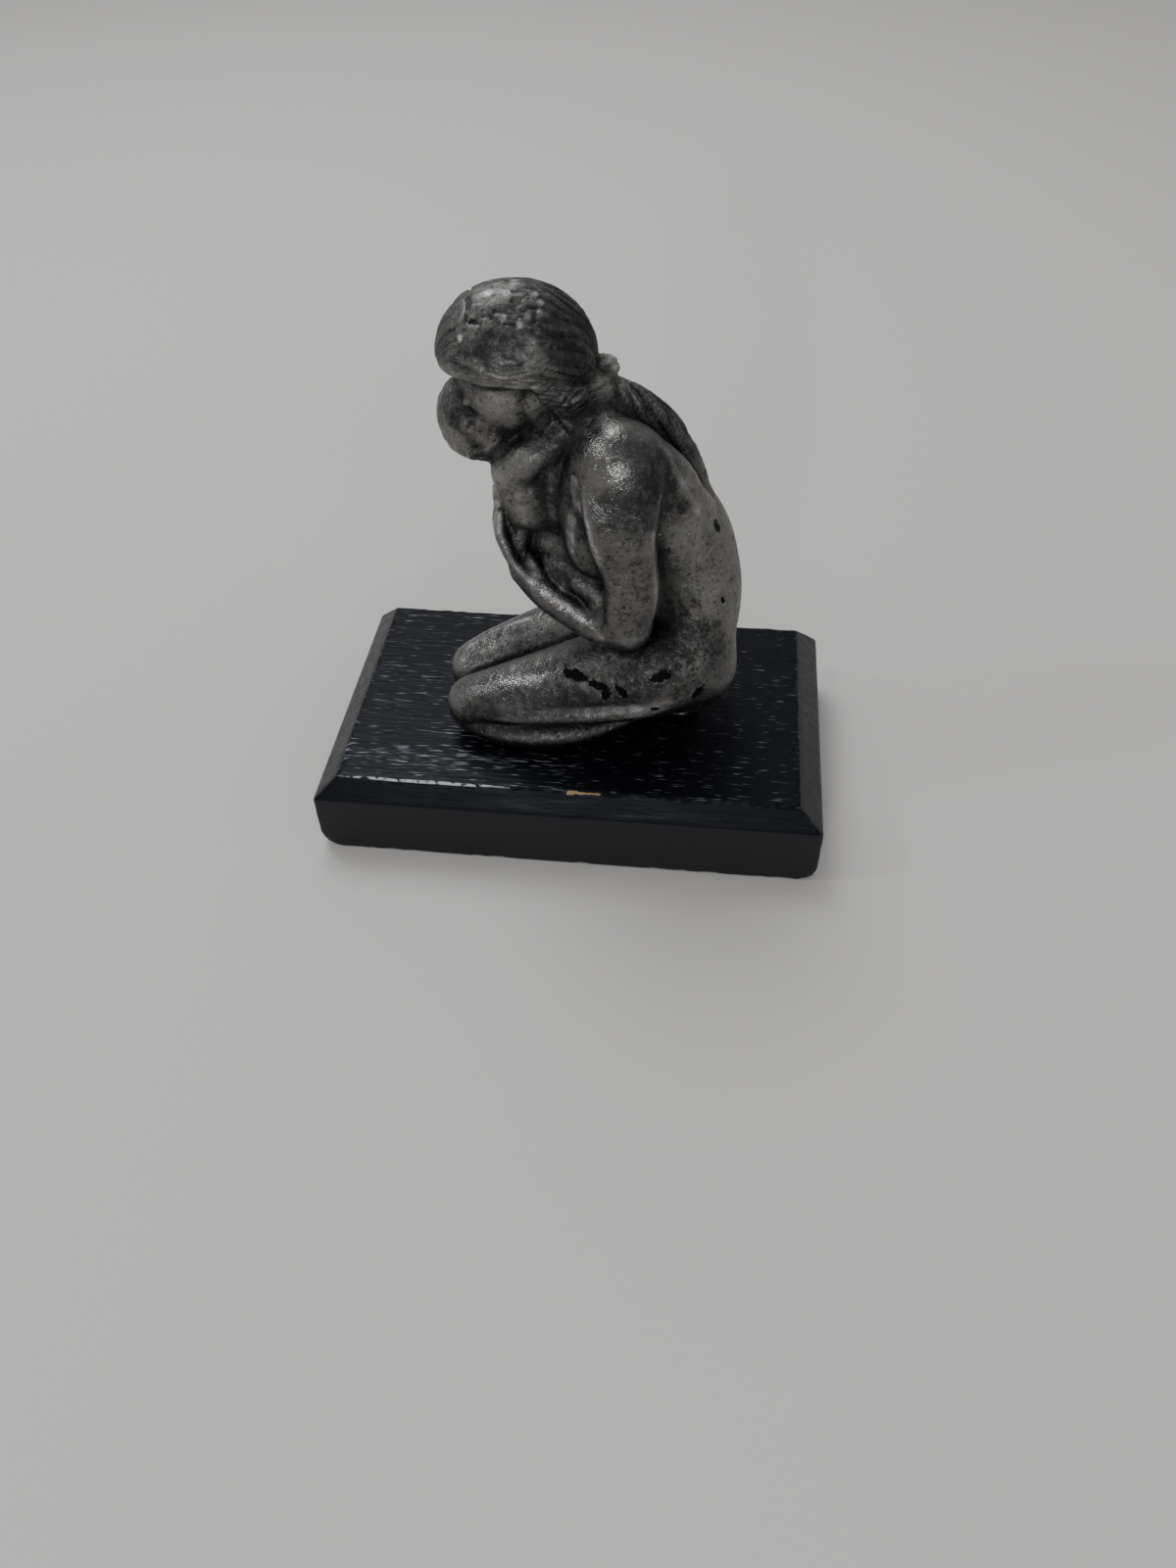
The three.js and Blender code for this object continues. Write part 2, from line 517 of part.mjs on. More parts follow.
// Thins a closed mesh to the wanted number of triangles: the edge whose loss changes the shape least
// is collapsed first, where shape is measured by the squared distance to the planes of the triangles.
function thin({ vertices, triangles }, wanted) {
  const p = Float64Array.from(vertices);
  const t = Int32Array.from(triangles);
  const count = p.length / 3;
  const around = Array.from({ length: count }, () => new Set());
  const quadric = new Float64Array(count * 10);
  const alive = new Uint8Array(count).fill(1);
  const stamp = new Int32Array(count);
  let left = t.length / 3;

  const normalOf = (a, b, c) => {
    const [ux, uy, uz] = [p[3 * b] - p[3 * a], p[3 * b + 1] - p[3 * a + 1], p[3 * b + 2] - p[3 * a + 2]];
    const [vx, vy, vz] = [p[3 * c] - p[3 * a], p[3 * c + 1] - p[3 * a + 1], p[3 * c + 2] - p[3 * a + 2]];
    return [uy * vz - uz * vy, uz * vx - ux * vz, ux * vy - uy * vx];
  };
  for (let f = 0; f < left; f++) {
    const [a, b, c] = t.subarray(3 * f, 3 * f + 3);
    const n = normalOf(a, b, c);
    const size = Math.hypot(...n) || 1e-12;
    const [nx, ny, nz] = n.map((v) => v / size);
    const d = -(nx * p[3 * a] + ny * p[3 * a + 1] + nz * p[3 * a + 2]);
    const q = [nx * nx, nx * ny, nx * nz, nx * d, ny * ny, ny * nz, ny * d, nz * nz, nz * d, d * d];
    for (const v of [a, b, c]) {
      around[v].add(f);
      for (let m = 0; m < 10; m++) quadric[v * 10 + m] += q[m] * size;
    }
  }

  // The best place for the vertex that replaces a and b, and what it costs.
  const q = new Float64Array(10);
  const costAt = (x, y, z) =>
    q[0] * x * x + 2 * q[1] * x * y + 2 * q[2] * x * z + 2 * q[3] * x + q[4] * y * y +
    2 * q[5] * y * z + 2 * q[6] * y + q[7] * z * z + 2 * q[8] * z + q[9];
  function merged(a, b) {
    for (let m = 0; m < 10; m++) q[m] = quadric[a * 10 + m] + quadric[b * 10 + m];
    const A = p.subarray(3 * a, 3 * a + 3);
    const B = p.subarray(3 * b, 3 * b + 3);
    // Minors of the quadric's matrix, for the place where its slope is zero.
    const [m0, m1, m2] = [q[4] * q[7] - q[5] * q[5], q[1] * q[7] - q[5] * q[2], q[1] * q[5] - q[4] * q[2]];
    const [n0, n1, n2] = [q[6] * q[7] - q[5] * q[8], q[6] * q[5] - q[4] * q[8], q[1] * q[8] - q[6] * q[2]];
    const det = q[0] * m0 - q[1] * m1 + q[2] * m2;
    const middle = [0, 1, 2].map((m) => (A[m] + B[m]) / 2);
    const options = [[...A], [...B], middle];
    if (Math.abs(det) > 1e-6) {
      const solved = [
        -(q[3] * m0 - q[1] * n0 + q[2] * n1) / det,
        -(q[0] * n0 - q[3] * m1 + q[2] * n2) / det,
        -(-q[0] * n1 - q[1] * n2 + q[3] * m2) / det,
      ];
      const length = Math.hypot(A[0] - B[0], A[1] - B[1], A[2] - B[2]);
      if (Math.hypot(...solved.map((v, m) => v - middle[m])) < length) options.push(solved);
    }
    let best = null;
    for (const o of options) {
      const cost = costAt(...o);
      if (!best || cost < best.cost) best = { cost, place: o };
    }
    const span = (A[0] - B[0]) ** 2 + (A[1] - B[1]) ** 2 + (A[2] - B[2]) ** 2;
    best.cost = Math.max(best.cost, 0) + 1e-4 * span * span;
    return best;
  }

  const heap = [];
  const push = (item) => {
    let i = heap.push(item) - 1;
    while (i > 0) {
      const up = (i - 1) >> 1;
      if (heap[up].cost <= heap[i].cost) break;
      [heap[up], heap[i]] = [heap[i], heap[up]];
      i = up;
    }
  };
  const pop = () => {
    const top = heap[0];
    const last = heap.pop();
    if (heap.length) {
      heap[0] = last;
      for (let i = 0; ; ) {
        let least = i;
        for (const c of [2 * i + 1, 2 * i + 2]) {
          if (c < heap.length && heap[c].cost < heap[least].cost) least = c;
        }
        if (least === i) break;
        [heap[least], heap[i]] = [heap[i], heap[least]];
        i = least;
      }
    }
    return top;
  };
  const offer = (a, b) => push({ ...merged(a, b), a, b, when: stamp[a] + stamp[b] });
  for (let f = 0; f < left; f++)
    for (let m = 0; m < 3; m++) {
      const [a, b] = [t[3 * f + m], t[3 * f + ((m + 1) % 3)]];
      if (a < b) offer(a, b);
    }

  const neighbours = (v) => {
    const out = new Set();
    for (const f of around[v]) for (let m = 0; m < 3; m++) if (t[3 * f + m] !== v) out.add(t[3 * f + m]);
    return out;
  };
  const unit = (n) => {
    const size = Math.hypot(...n) || 1e-12;
    return n.map((v) => v / size);
  };
  // Whether a triangle would turn over or become a sliver once v moves to the place.
  const spoils = (v, gone, place) => {
    for (const f of around[v]) {
      const ring = [t[3 * f], t[3 * f + 1], t[3 * f + 2]];
      if (ring.includes(gone)) continue;
      const before = unit(normalOf(...ring));
      const keep = [...p.subarray(3 * v, 3 * v + 3)];
      p.set(place, 3 * v);
      const after = normalOf(...ring);
      p.set(keep, 3 * v);
      const [nx, ny, nz] = unit(after);
      if (before[0] * nx + before[1] * ny + before[2] * nz < 0.3 || Math.hypot(...after) < 0.01) return true;
    }
    return false;
  };

  while (left > wanted && heap.length) {
    const { a, b, place, when } = pop();
    if (!alive[a] || !alive[b] || when !== stamp[a] + stamp[b]) continue;
    const near = neighbours(a);
    const shared = [...neighbours(b)].filter((v) => near.has(v));
    if (shared.length !== 2 || spoils(a, b, place) || spoils(b, a, place)) continue;
    for (const f of around[b]) {
      const ring = [t[3 * f], t[3 * f + 1], t[3 * f + 2]];
      if (ring.includes(a)) {
        for (const v of ring) if (v !== b) around[v].delete(f);
        t[3 * f] = -1;
        left--;
      } else {
        for (let m = 0; m < 3; m++) if (t[3 * f + m] === b) t[3 * f + m] = a;
        around[a].add(f);
      }
    }
    alive[b] = 0;
    p.set(place, 3 * a);
    for (let m = 0; m < 10; m++) quadric[a * 10 + m] += quadric[b * 10 + m];
    stamp[a] += stamp[b] + 1;
    for (const v of neighbours(a)) offer(a, v);
  }

  const renumbered = new Map();
  const kept = [];
  const faces = [];
  for (let f = 0; f < t.length / 3; f++) {
    if (t[3 * f] < 0) continue;
    for (let m = 0; m < 3; m++) {
      const v = t[3 * f + m];
      if (!renumbered.has(v)) {
        renumbered.set(v, kept.length / 3);
        kept.push(p[3 * v], p[3 * v + 1], p[3 * v + 2]);
      }
      faces.push(renumbered.get(v));
    }
  }
  return { vertices: new Float32Array(kept), triangles: new Uint32Array(faces) };
}

function geometryOf({ vertices, triangles }) {
  const geometry = new THREE.BufferGeometry();
  geometry.setAttribute("position", new THREE.BufferAttribute(vertices, 3));
  geometry.setIndex(new THREE.BufferAttribute(triangles, 1));
  return geometry;
}

function castingGeometry() {
  const solid = casting();
  const fine = settle(skin(solid, [-30, -24, -1.2], [35, 24, 92], mesh.cell), solid, 0.3);
  const geometry = geometryOf(thin(fine, mesh.triangles));
  geometry.computeVertexNormals();
  return geometry;
}

// The plinth: a straight lower part, and bevels that rise from its edge to the smaller top.
function plinthGeometry() {
  const ring = (insetX, insetY, z) => {
    const [hx, hy] = [plinth.length / 2 - insetX, plinth.depth / 2 - insetY];
    return [[-hx, -hy, z], [hx, -hy, z], [hx, hy, z], [-hx, hy, z]];
  };
  const rings = [
    ring(0, 0, 0),
    ring(0, 0, plinth.height - plinth.bevelRise),
    ring(plinth.endBevel, plinth.sideBevel, plinth.height),
  ];
  const faces = [];
  const quad = (a, b, c, d) => faces.push(a, b, c, a, c, d);
  for (let level = 0; level < 2; level++)
    for (let m = 0; m < 4; m++) {
      const next = (m + 1) % 4;
      quad(rings[level][m], rings[level][next], rings[level + 1][next], rings[level + 1][m]);
    }
  quad(rings[0][3], rings[0][2], rings[0][1], rings[0][0]);
  quad(rings[2][0], rings[2][1], rings[2][2], rings[2][3]);
  const geometry = new THREE.BufferGeometry();
  geometry.setAttribute("position", new THREE.Float32BufferAttribute(faces.flat(), 3));
  geometry.computeVertexNormals();
  return geometry;
}

const castMetal = new THREE.MeshStandardMaterial({ color: 0x4a4a48, roughness: 0.42, metalness: 0.9 });
const blackPaint = new THREE.MeshStandardMaterial({ color: 0x0c0d10, roughness: 0.5, metalness: 0 });

const figure = new THREE.Mesh(castingGeometry(), castMetal);
figure.name = "mother_and_child";
figure.rotation.z = (standsAt.turn * Math.PI) / 180;
figure.position.set(standsAt.x, standsAt.y, plinth.height + standsAt.glueGap);

const base = new THREE.Mesh(plinthGeometry(), blackPaint);
base.name = "plinth";

const statuette = new THREE.Group();
statuette.name = "mother_and_child_statuette";
statuette.add(figure, base);
export default statuette;
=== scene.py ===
"""The looks of a small statuette: a kneeling mother bent over the child in her arms, cast in dark metal, on
a black painted wooden plinth. The casting is sculpted in millimetres in its own frame (the plinth's top is
z = 0, her middle plane is y = 0, she faces -X), and is then set on the plinth in metres."""

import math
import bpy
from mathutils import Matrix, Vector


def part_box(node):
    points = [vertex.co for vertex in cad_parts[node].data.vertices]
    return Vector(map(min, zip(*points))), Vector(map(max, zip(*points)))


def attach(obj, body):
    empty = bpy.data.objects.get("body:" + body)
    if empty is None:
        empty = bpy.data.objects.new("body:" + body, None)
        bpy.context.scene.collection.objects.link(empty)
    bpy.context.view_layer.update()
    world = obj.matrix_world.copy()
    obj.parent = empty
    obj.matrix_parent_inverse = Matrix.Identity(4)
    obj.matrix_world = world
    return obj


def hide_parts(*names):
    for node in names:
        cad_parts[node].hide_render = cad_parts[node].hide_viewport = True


bl_info = {
    "name": "Mother and Child Statuette",
    "version": (1, 0, 0),
    "blender": (4, 5, 0),
    "location": "View3D > Sidebar > Statuette",
    "description": "Sculpts the casting, builds the plinth and sets a plain studio round them",
    "category": "Object",
}

import bpy
import numpy as np
from mathutils import Euler, Matrix, Vector

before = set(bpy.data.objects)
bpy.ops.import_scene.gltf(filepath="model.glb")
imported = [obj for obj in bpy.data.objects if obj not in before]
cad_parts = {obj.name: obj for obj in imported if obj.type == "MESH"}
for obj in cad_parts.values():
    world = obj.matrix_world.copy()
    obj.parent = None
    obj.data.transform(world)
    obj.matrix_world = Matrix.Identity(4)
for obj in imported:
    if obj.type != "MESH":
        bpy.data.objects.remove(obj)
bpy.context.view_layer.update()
PLINTH_LOW, PLINTH_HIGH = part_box("plinth")

MM = 0.001

# Where the casting stands on the plinth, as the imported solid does.
CASTING_TURN = math.radians(7)
CASTING_SPOT = (0.0, -2.6 * MM, PLINTH_HIGH.z + 0.3 * MM)
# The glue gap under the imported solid, which the sculpted casting fills.
GLUE_GAP = 0.28

# Driving points of the head, in the casting's frame.
HEAD_CENTRE = (-8.5, 0, 76.2)
HEAD_RADII = (13.3, 10, 11.5)
KNOT = (5.0, 0.2, 71.6)
BROW = (-21, 0, 73)
# How much her shoulders lean over, as a slope.
SHOULDER_TIP = 0.13
# Radii of the grooves cut for the strokes in the hair and for the lines between the fingers.
STROKE_RADIUS = 0.36
FINGER_GAP_RADIUS = 0.42

# The box that the casting is sculpted in, and how near its surface each grid point gets its own distance.
SCULPT_LOW = (-28.6, -21.0, -1.2)
SCULPT_HIGH = (34.0, 21.0, 89.5)
SCULPT_REACH = 1.2

# The plinth's bevels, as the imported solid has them.
BEVEL_RISE = 4.6 * MM
END_BEVEL = 4.9 * MM
SIDE_BEVEL = 2.8 * MM


# Marks on the metal, in the casting's frame and in millimetres.
# Chips in its skin: the middle, half length and half height, and lean in degrees.
CHIPS = [
    ((-0.4, -13.4, 19.3), (2.5, 0.85), 2), ((3.6, -15.4, 18.6), (2.2, 0.7), 6),
    ((5.3, -16.3, 17.2), (0.8, 1.3), 10), ((8.3, -17.0, 18.0), (0.8, 1.5), -35),
    ((15.6, -17.0, 21.8), (2.2, 0.9), -8), ((22.4, -16.2, 17.0), (0.7, 1.6), 50),
    ((14.3, -17.8, 14.9), (0.9, 0.35), 0), ((24.9, -6.3, 46.9), (0.35, 1.5), -25),
    ((26.6, -9.6, 33.2), (0.3, 0.8), -20),
]
# Dark marks, partly stains and partly painted shade and painted dark reflections, as on the calves, on the
# feet under her and on the forearm's upper side: the middle, the radius, and how strong.
STAINS_AND_SHADE = [
    (12.8, -16.4, 60.5, 5.5, 0.8), (8.8, -17.6, 57.3, 4.5, 0.6), (17.2, -11.2, 55.7, 4.5, 0.3),
    (15.0, -12.5, 61, 4, 0.5), (-0.7, -2.8, 84.3, 7.5, 0.7), (1.6, -5.6, 80.0, 6.5, 0.65),
    (-12.5, -8.3, 81.2, 2.6, 0.9), (-9.0, -8.2, 81.6, 2.4, 0.8), (18.3, -11.6, 26.6, 7, 0.9),
    (13.7, -14.5, 25.0, 6, 0.9), (23.7, -12.1, 25.8, 4.5, 0.7), (11.0, -16.7, 21.8, 6, 0.5),
    (20.1, -16.7, 18.7, 4, 0.5), (-5.9, -14.3, 5.1, 9, 0.7), (5.7, -12.6, 4.6, 9, 0.8),
    (-13.6, -13.9, 4.9, 8, 0.6), (-1.2, -10.0, 37.6, 6, 0.6), (-9.5, -7.9, 43.5, 4.5, 0.5),
    (13.4, -1.0, 66.6, 5, 0.5), (18.2, -1.5, 61.5, 5, 0.5), (-1.3, -8.2, 66.1, 4.5, 0.6),
    (-3.4, -6.7, 51.0, 4, 0.4), (-18.6, -4.6, 69.6, 2.4, 0.7), (-2.0, -8.0, 58.0, 4, 0.4),
    (6.0, -16.5, 15.4, 4, 0.3), (-5.6, -14.2, 13.5, 3, 0.3), (8.0, 14.0, 58, 7, 0.6),
    (20.0, 13.0, 25, 8, 0.7), (-4.0, 14.0, 5.0, 10, 0.7), (24.0, 2.0, 12.0, 5, 0.5),
    (-8.0, 5.0, 84, 6, 0.5), (22.0, -4.0, 2.5, 6, 0.95), (14.0, -6.0, 3.0, 6, 0.8),
    (-17.6, -6.6, 68.0, 2.2, 0.7), (9.0, -17.5, 41.0, 9, 0.38), (0.0, -13.5, 4.0, 11, 0.6),
    (-12.0, -13.0, 4.0, 8, 0.6), (16.0, -2.0, 64.0, 6, 0.55), (-15.0, -10.5, 12.0, 6.5, 0.55),
    (-4.0, -13.0, 12.0, 7.5, 0.55), (6.0, -15.0, 14.0, 7.0, 0.40), (-16.0, 4.0, 12.0, 7, 0.3),
    (2.0, -7.0, 67.5, 4, 0.5), (1.0, -9.0, 38.0, 5, 0.3), (19.0, -5.0, 2.5, 5, 0.95),
    (-6.0, -8.6, 61.0, 5, 0.35), (-1.5, -8.6, 64.5, 4, 0.5), (9.2, -14.0, 66.0, 3.2, 0.8),
    (12.4, -14.2, 63.4, 4.2, 0.9), (15.4, -12.4, 59.9, 4.2, 0.8), (18.0, -11.0, 55.0, 3.0, 0.6),
    (10.6, -17.0, 57.0, 4.2, 0.9), (6.2, -16.8, 56.6, 3.4, 0.8), (-0.6, -11.6, 57.6, 3.4, 0.8),
    (0.8, -13.4, 52.6, 2.6, 0.7), (-4.9, -7.9, 55.7, 3.2, 0.5), (-3.2, -9.1, 50.6, 3.0, 0.5),
    (-6.0, -6.9, 66.0, 3.4, 0.7), (-2.1, -8.7, 65.1, 3.6, 0.7), (-7.6, -11.0, 40.6, 2.6, 0.7),
    (-4.4, -11.2, 38.6, 2.4, 0.8), (-1.6, -12.0, 36.9, 2.2, 0.8), (0.9, -12.6, 35.4, 2.2, 0.7),
    (-9.6, -10.6, 42.0, 2.6, 0.7), (-12.2, -9.4, 46.0, 1.8, 0.5), (-18.6, -5.0, 69.0, 3.2, 0.8),
    (-0.2, -7.9, 70.2, 3.6, 0.5), (1.2, -8.1, 68.2, 3.4, 0.6), (-3.4, -8.5, 71.0, 2.4, 0.5),
    (-7.5, -8.8, 42.2, 2.2, 0.5), (-10.4, -8.9, 44.7, 2.6, 0.5),
]
# Dull, paler places, and places that hands have polished, which are glossier and also carry a painted
# highlight, given in the same way.
DULL_PLACES = [
    (22.0, -10.4, 43.0, 10, 0.8), (24.7, -4.8, 49.2, 7, 0.7), (26.3, -9.8, 31.8, 8, 0.6),
    (18.8, -10.4, 58.5, 4, 0.6), (-20.0, -4.9, 63.4, 4, 0.6), (-11.3, -8.2, 70.6, 4.5, 0.7),
    (-10.8, -7.7, 52.8, 4, 0.6), (21.0, -14.5, 23.2, 2.6, 1.0), (8.1, -17.4, 44.1, 7, 0.5),
    (9.0, -17.3, 36.9, 5, 0.5), (24.0, 9.0, 44.0, 10, 0.7), (28.0, 0.0, 20.0, 8, 0.5),
    (9.0, 17.0, 42.0, 8, 0.5), (-11.2, -6.8, 60.6, 3.6, 0.7), (-10.6, -7.9, 55.6, 4.0, 0.8),
    (20.0, -10.5, 36.0, 8, 0.6), (-8.8, -8.4, 72.0, 4.0, 0.5), (24.8, -8.0, 39.0, 7, 0.6),
    (-10.0, -6.0, 53.0, 4.0, 0.7), (5.0, -1.0, 72.4, 4.6, 0.9), (-5.0, -7.0, 54.0, 5.0, 0.7),
]
GLOSSY_HIGHLIGHT_PLACES = [
    (6.9, -16.1, 65.7, 6.0, 0.9), (5.0, -17.4, 60.6, 5.0, 0.9), (-13.1, -9.7, 15.4, 6.0, 1.0),
    (-18.0, -7.2, 13.8, 4.0, 0.9), (-8.2, -11.5, 16.1, 4.5, 0.8), (-4.7, -12.2, 37.2, 3.0, 1.0),
    (-1.0, -12.9, 35.0, 3.0, 1.0), (2.5, -14.2, 32.0, 3.0, 0.8), (-18.0, 6.0, 14.0, 5.0, 0.7),
    (-21.0, 5.5, 9.0, 4.0, 0.6), (-12.0, -9.0, 77.0, 3.5, 0.5), (6.0, 16.0, 58.0, 6.0, 0.7),
]
# Dark lines of painted shade and painted dark reflection along creases and grooves, and brighter lines
# along ridges, partly rubbed and partly painted highlights: their points, half width, and how strong.
SHADE_LINES = [
    ([(14.8, -13.2, 52.0), (15.0, -13.0, 47.0), (15.0, -13.2, 42.0), (14.8, -13.6, 37.0)], 1.0, 0.8),
    ([(-5.5, -10.6, 39.6), (-2.9, -10.4, 38.3), (-0.4, -11.1, 36.6), (1.4, -11.9, 35.4),
      (3.4, -13.2, 34.2), (4.8, -15.0, 33.0)], 1.5, 0.8),
    ([(-12.6, -8.4, 50.4), (-13.1, -9.2, 48.0), (-12.6, -9.8, 45.3), (-11.9, -9.9, 43.0),
      (-10.9, -10.4, 41.0)], 1.3, 0.6),
    ([(-22.0, 2.8, 10.6), (-17.6, 4.6, 13.7), (-13.6, 4.9, 15.8), (-9.5, 4.2, 17.5)], 0.8, 0.7),
    ([(-13.0, -12.4, 12.6), (-5.5, -14.1, 13.8), (1.9, -15.7, 15.2), (9.2, -17.3, 17.2),
      (14.0, -17.7, 19.0)], 1.5, 0.6),
    ([(-9.6, -8.6, 16.8), (-5.4, -9.8, 19.1), (0.2, -10.6, 21.4), (5.7, -11.4, 23.5),
      (10.0, -12.5, 24.5)], 1.8, 0.65),
    ([(-20.4, -4.0, 68.4), (-18.6, -5.8, 66.8), (-16.8, -6.6, 64.6), (-15.2, -6.4, 62.0),
      (-13.8, -4.6, 59.6)], 0.9, 0.7),
    ([(-18.0, -12.0, 3.4), (-8.0, -13.6, 3.6), (2.0, -13.0, 3.6)], 1.8, 0.6),
    ([(-18.5, -10.4, 12.0), (-11.1, -12.3, 14.2), (-5.5, -13.5, 15.8), (0.0, -14.6, 17.0)], 1.2, 0.6),
    ([(-8.0, -12.0, 37.6), (-4.8, -13.0, 34.4), (-1.0, -14.0, 32.4), (2.5, -15.3, 30.4)], 1.5, 0.8),
    ([(-2.0, -13.2, 19.6), (4.0, -14.2, 20.4), (9.2, -15.6, 21.6)], 1.8, 0.45),
    ([(-20.0, -9.6, 8.6), (-12.0, -12.6, 9.6), (-4.0, -14.0, 10.4)], 1.2, 0.35),
    ([(-18.0, -11.6, 5.8), (-12.0, -13.2, 6.2), (-4.0, -14.6, 7.0), (4.0, -14.4, 8.0),
      (8.0, -13.0, 8.5)], 1.5, 0.75),
    ([(-17.0, 1.0, 12.0), (-11.0, 1.4, 15.0), (-5.0, 1.0, 17.6)], 1.6, 0.5),
    ([(-9.0, -6.4, 85.0), (-6.0, -7.4, 84.0), (-2.0, -8.0, 83.0)], 2.4, 0.35),
    ([(-16.0, -8.0, 79.6), (-12.0, -9.6, 79.0), (-8.0, -10.0, 78.6)], 1.4, 0.6),
    ([(-19.6, -4.6, 74.6), (-16.0, -7.0, 74.4), (-11.6, -8.6, 74.3), (-8.0, -9.0, 74.1),
      (-5.6, -9.0, 73.6)], 0.55, 0.95),
]
WORN_AND_LIT_LINES = [
    ([(0.3, -12.3, 59.7), (0.9, -13.7, 56.9), (1.8, -15.6, 54.4), (2.6, -16.6, 51.2),
      (3.8, -16.5, 46.7)], 1.0, 0.95),
    ([(13.4, -16.6, 52.3), (14.0, -16.8, 47.0), (14.2, -16.8, 42.0), (14.0, -16.9, 37.5)], 0.5, 0.45),
    ([(16.2, -10.3, 62.1), (18.8, -10.7, 56.9), (21.7, -9.4, 51.2)], 0.5, 0.5),
    ([(-0.2, -13.0, 53.2), (-0.6, -12.8, 48.7), (-0.3, -12.0, 45.0), (0.8, -11.8, 42.0)], 0.8, 0.9),
    ([(-7.5, -11.6, 39.5), (-4.7, -12.2, 37.2), (-1.0, -12.9, 35.0), (2.5, -14.4, 32.2),
      (5.0, -15.8, 30.6)], 0.7, 0.8),
    ([(-23.5, 4.5, 9.5), (-21.1, 5.5, 12.4), (-17.7, 6.9, 14.1), (-13.6, 7.0, 15.9),
      (-9.5, 6.5, 17.7)], 0.5, 0.8),
    ([(-15.2, -12.3, 10.7), (-5.6, -14.3, 11.6), (1.9, -16.0, 12.7), (9.2, -17.4, 14.4),
      (16.5, -17.9, 16.8)], 0.8, 0.45),
    ([(-18.6, -8.0, 15.0), (-14.6, -9.4, 15.6), (-10.6, -10.6, 16.2), (-7.0, -11.6, 16.8)], 0.9, 0.9),
    ([(-22.6, 2.0, 11.4), (-19.4, 3.4, 13.6), (-15.4, 3.6, 15.6), (-10.6, 3.4, 17.6)], 0.4, 0.7),
]
# Chiselled strokes in the hair over her brow, the first of them its parting, darkened with painted shade,
# and small painted glints beside them. The far side has the same.
HAIR_STROKES = [
    [(-15.5, 1.2, 85.8), (-15.3, 2.7, 85.3), (-15.6, 4.2, 84.6), (-15.8, 5.1, 83.6)],
    [(-11.1, 5.4, 85.4), (-9.5, 5.8, 85.3), (-7.7, 6.5, 84.8)],
    [(-7.3, 6.3, 84.9), (-5.9, 6.5, 84.5), (-4.9, 6.6, 84.1)],
    [(-14.0, 5.4, 84.6), (-12.2, 6.0, 84.7), (-11.0, 6.7, 84.4)],
    [(-8.3, 2.9, 87.2), (-6.8, 2.6, 87.2)],
    [(-8.4, 4.3, 86.4), (-7.5, 4.7, 86.1)],
    [(-9.5, 7.1, 84.1), (-7.7, 7.3, 83.8)],
    [(-5.8, 5.1, 85.7), (-4.6, 5.1, 85.4)],
    [(-15.0, 5.2, 83.6), (-13.4, 6.5, 83.9)],
]
HAIR_GLINTS = [
    (-8.2, 0.7, 87.5), (-12.2, 2.4, 86.9), (-9.3, 3.0, 87.1), (-5.0, 2.9, 86.7), (-4.3, 4.0, 85.9),
    (-4.3, 5.5, 84.9), (-6.2, 6.2, 84.8), (-9.9, 6.4, 84.7), (-7.4, 7.1, 83.9), (-16.8, 6.1, 81.6),
]


def casting_place():
    """Where the casting's frame lies in the object's."""
    return Matrix.Translation(CASTING_SPOT) @ Matrix.Rotation(CASTING_TURN, 4, "Z")


def in_world(spot):
    """A place given in the casting's frame, in the object's."""
    return casting_place() @ (Vector(spot) * MM)


# Random but repeatable relief.

class Noise:
    """Smooth gradient noise, about -0.7 to 0.7, the same at every run."""

    def __init__(self, seed):
        draw = np.random.default_rng(seed)
        self.order = draw.permutation(256)
        slopes = draw.normal(size=(256, 3))
        self.slopes = slopes / np.linalg.norm(slopes, axis=1)[:, None]

    def __call__(self, x, y, z):
        cells = [np.floor(v).astype(np.int64) for v in (x, y, z)]
        parts = [v - c for v, c in zip((x, y, z), cells)]
        eased = [f * f * f * (f * (f * 6 - 15) + 10) for f in parts]
        total = 0.0
        for corner in range(8):
            step = (corner & 1, (corner >> 1) & 1, corner >> 2)
            key = self.order[(cells[0] + step[0]) & 255]
            key = self.order[(key + cells[1] + step[1]) & 255]
            key = self.order[(key + cells[2] + step[2]) & 255]
            slope = self.slopes[key]
            value = sum(slope[..., m] * (parts[m] - step[m]) for m in range(3))
            for m in range(3):
                value = value * (eased[m] if step[m] else 1 - eased[m])
            total = total + value
        return total


LOCK_NOISE = Noise(11)
STRAND_NOISE = Noise(23)
SURFACE_NOISE = Noise(37)


# Solids as signed distances in millimetres: each takes arrays x, y, z and is negative inside.

def smooth_min(a, b, width):
    """The nearer of two solids, with a fillet about as wide as the given width."""
    h = np.maximum(width - np.abs(a - b), 0.0) / width
    return np.minimum(a, b) - h * h * width * 0.25


def smooth_max(a, b, width):
    """What two solids share, with an edge rounded by about the given width."""
    return -smooth_min(-a, -b, width)


def smooth_step(v, low, high):
    """0 at low and 1 at high, with a smooth rise between them."""
    t = np.clip((v - low) / (high - low), 0, 1)
    return t * t * (3 - 2 * t)


def join(width, *solids):
    """Solids made one, with fillets of about the given width."""
    def solid(x, y, z):
        d = solids[0](x, y, z)
        for other in solids[1:]:
            d = smooth_min(d, other(x, y, z), width)
        return d
    return solid


def cut(width, solid, tool):
    """The solid without what the tool takes up."""
    return lambda x, y, z: smooth_max(solid(x, y, z), -tool(x, y, z), width)


def ball(centre, r):
    """A sphere."""
    cx, cy, cz = centre
    return lambda x, y, z: np.sqrt((x - cx) ** 2 + (y - cy) ** 2 + (z - cz) ** 2) - r


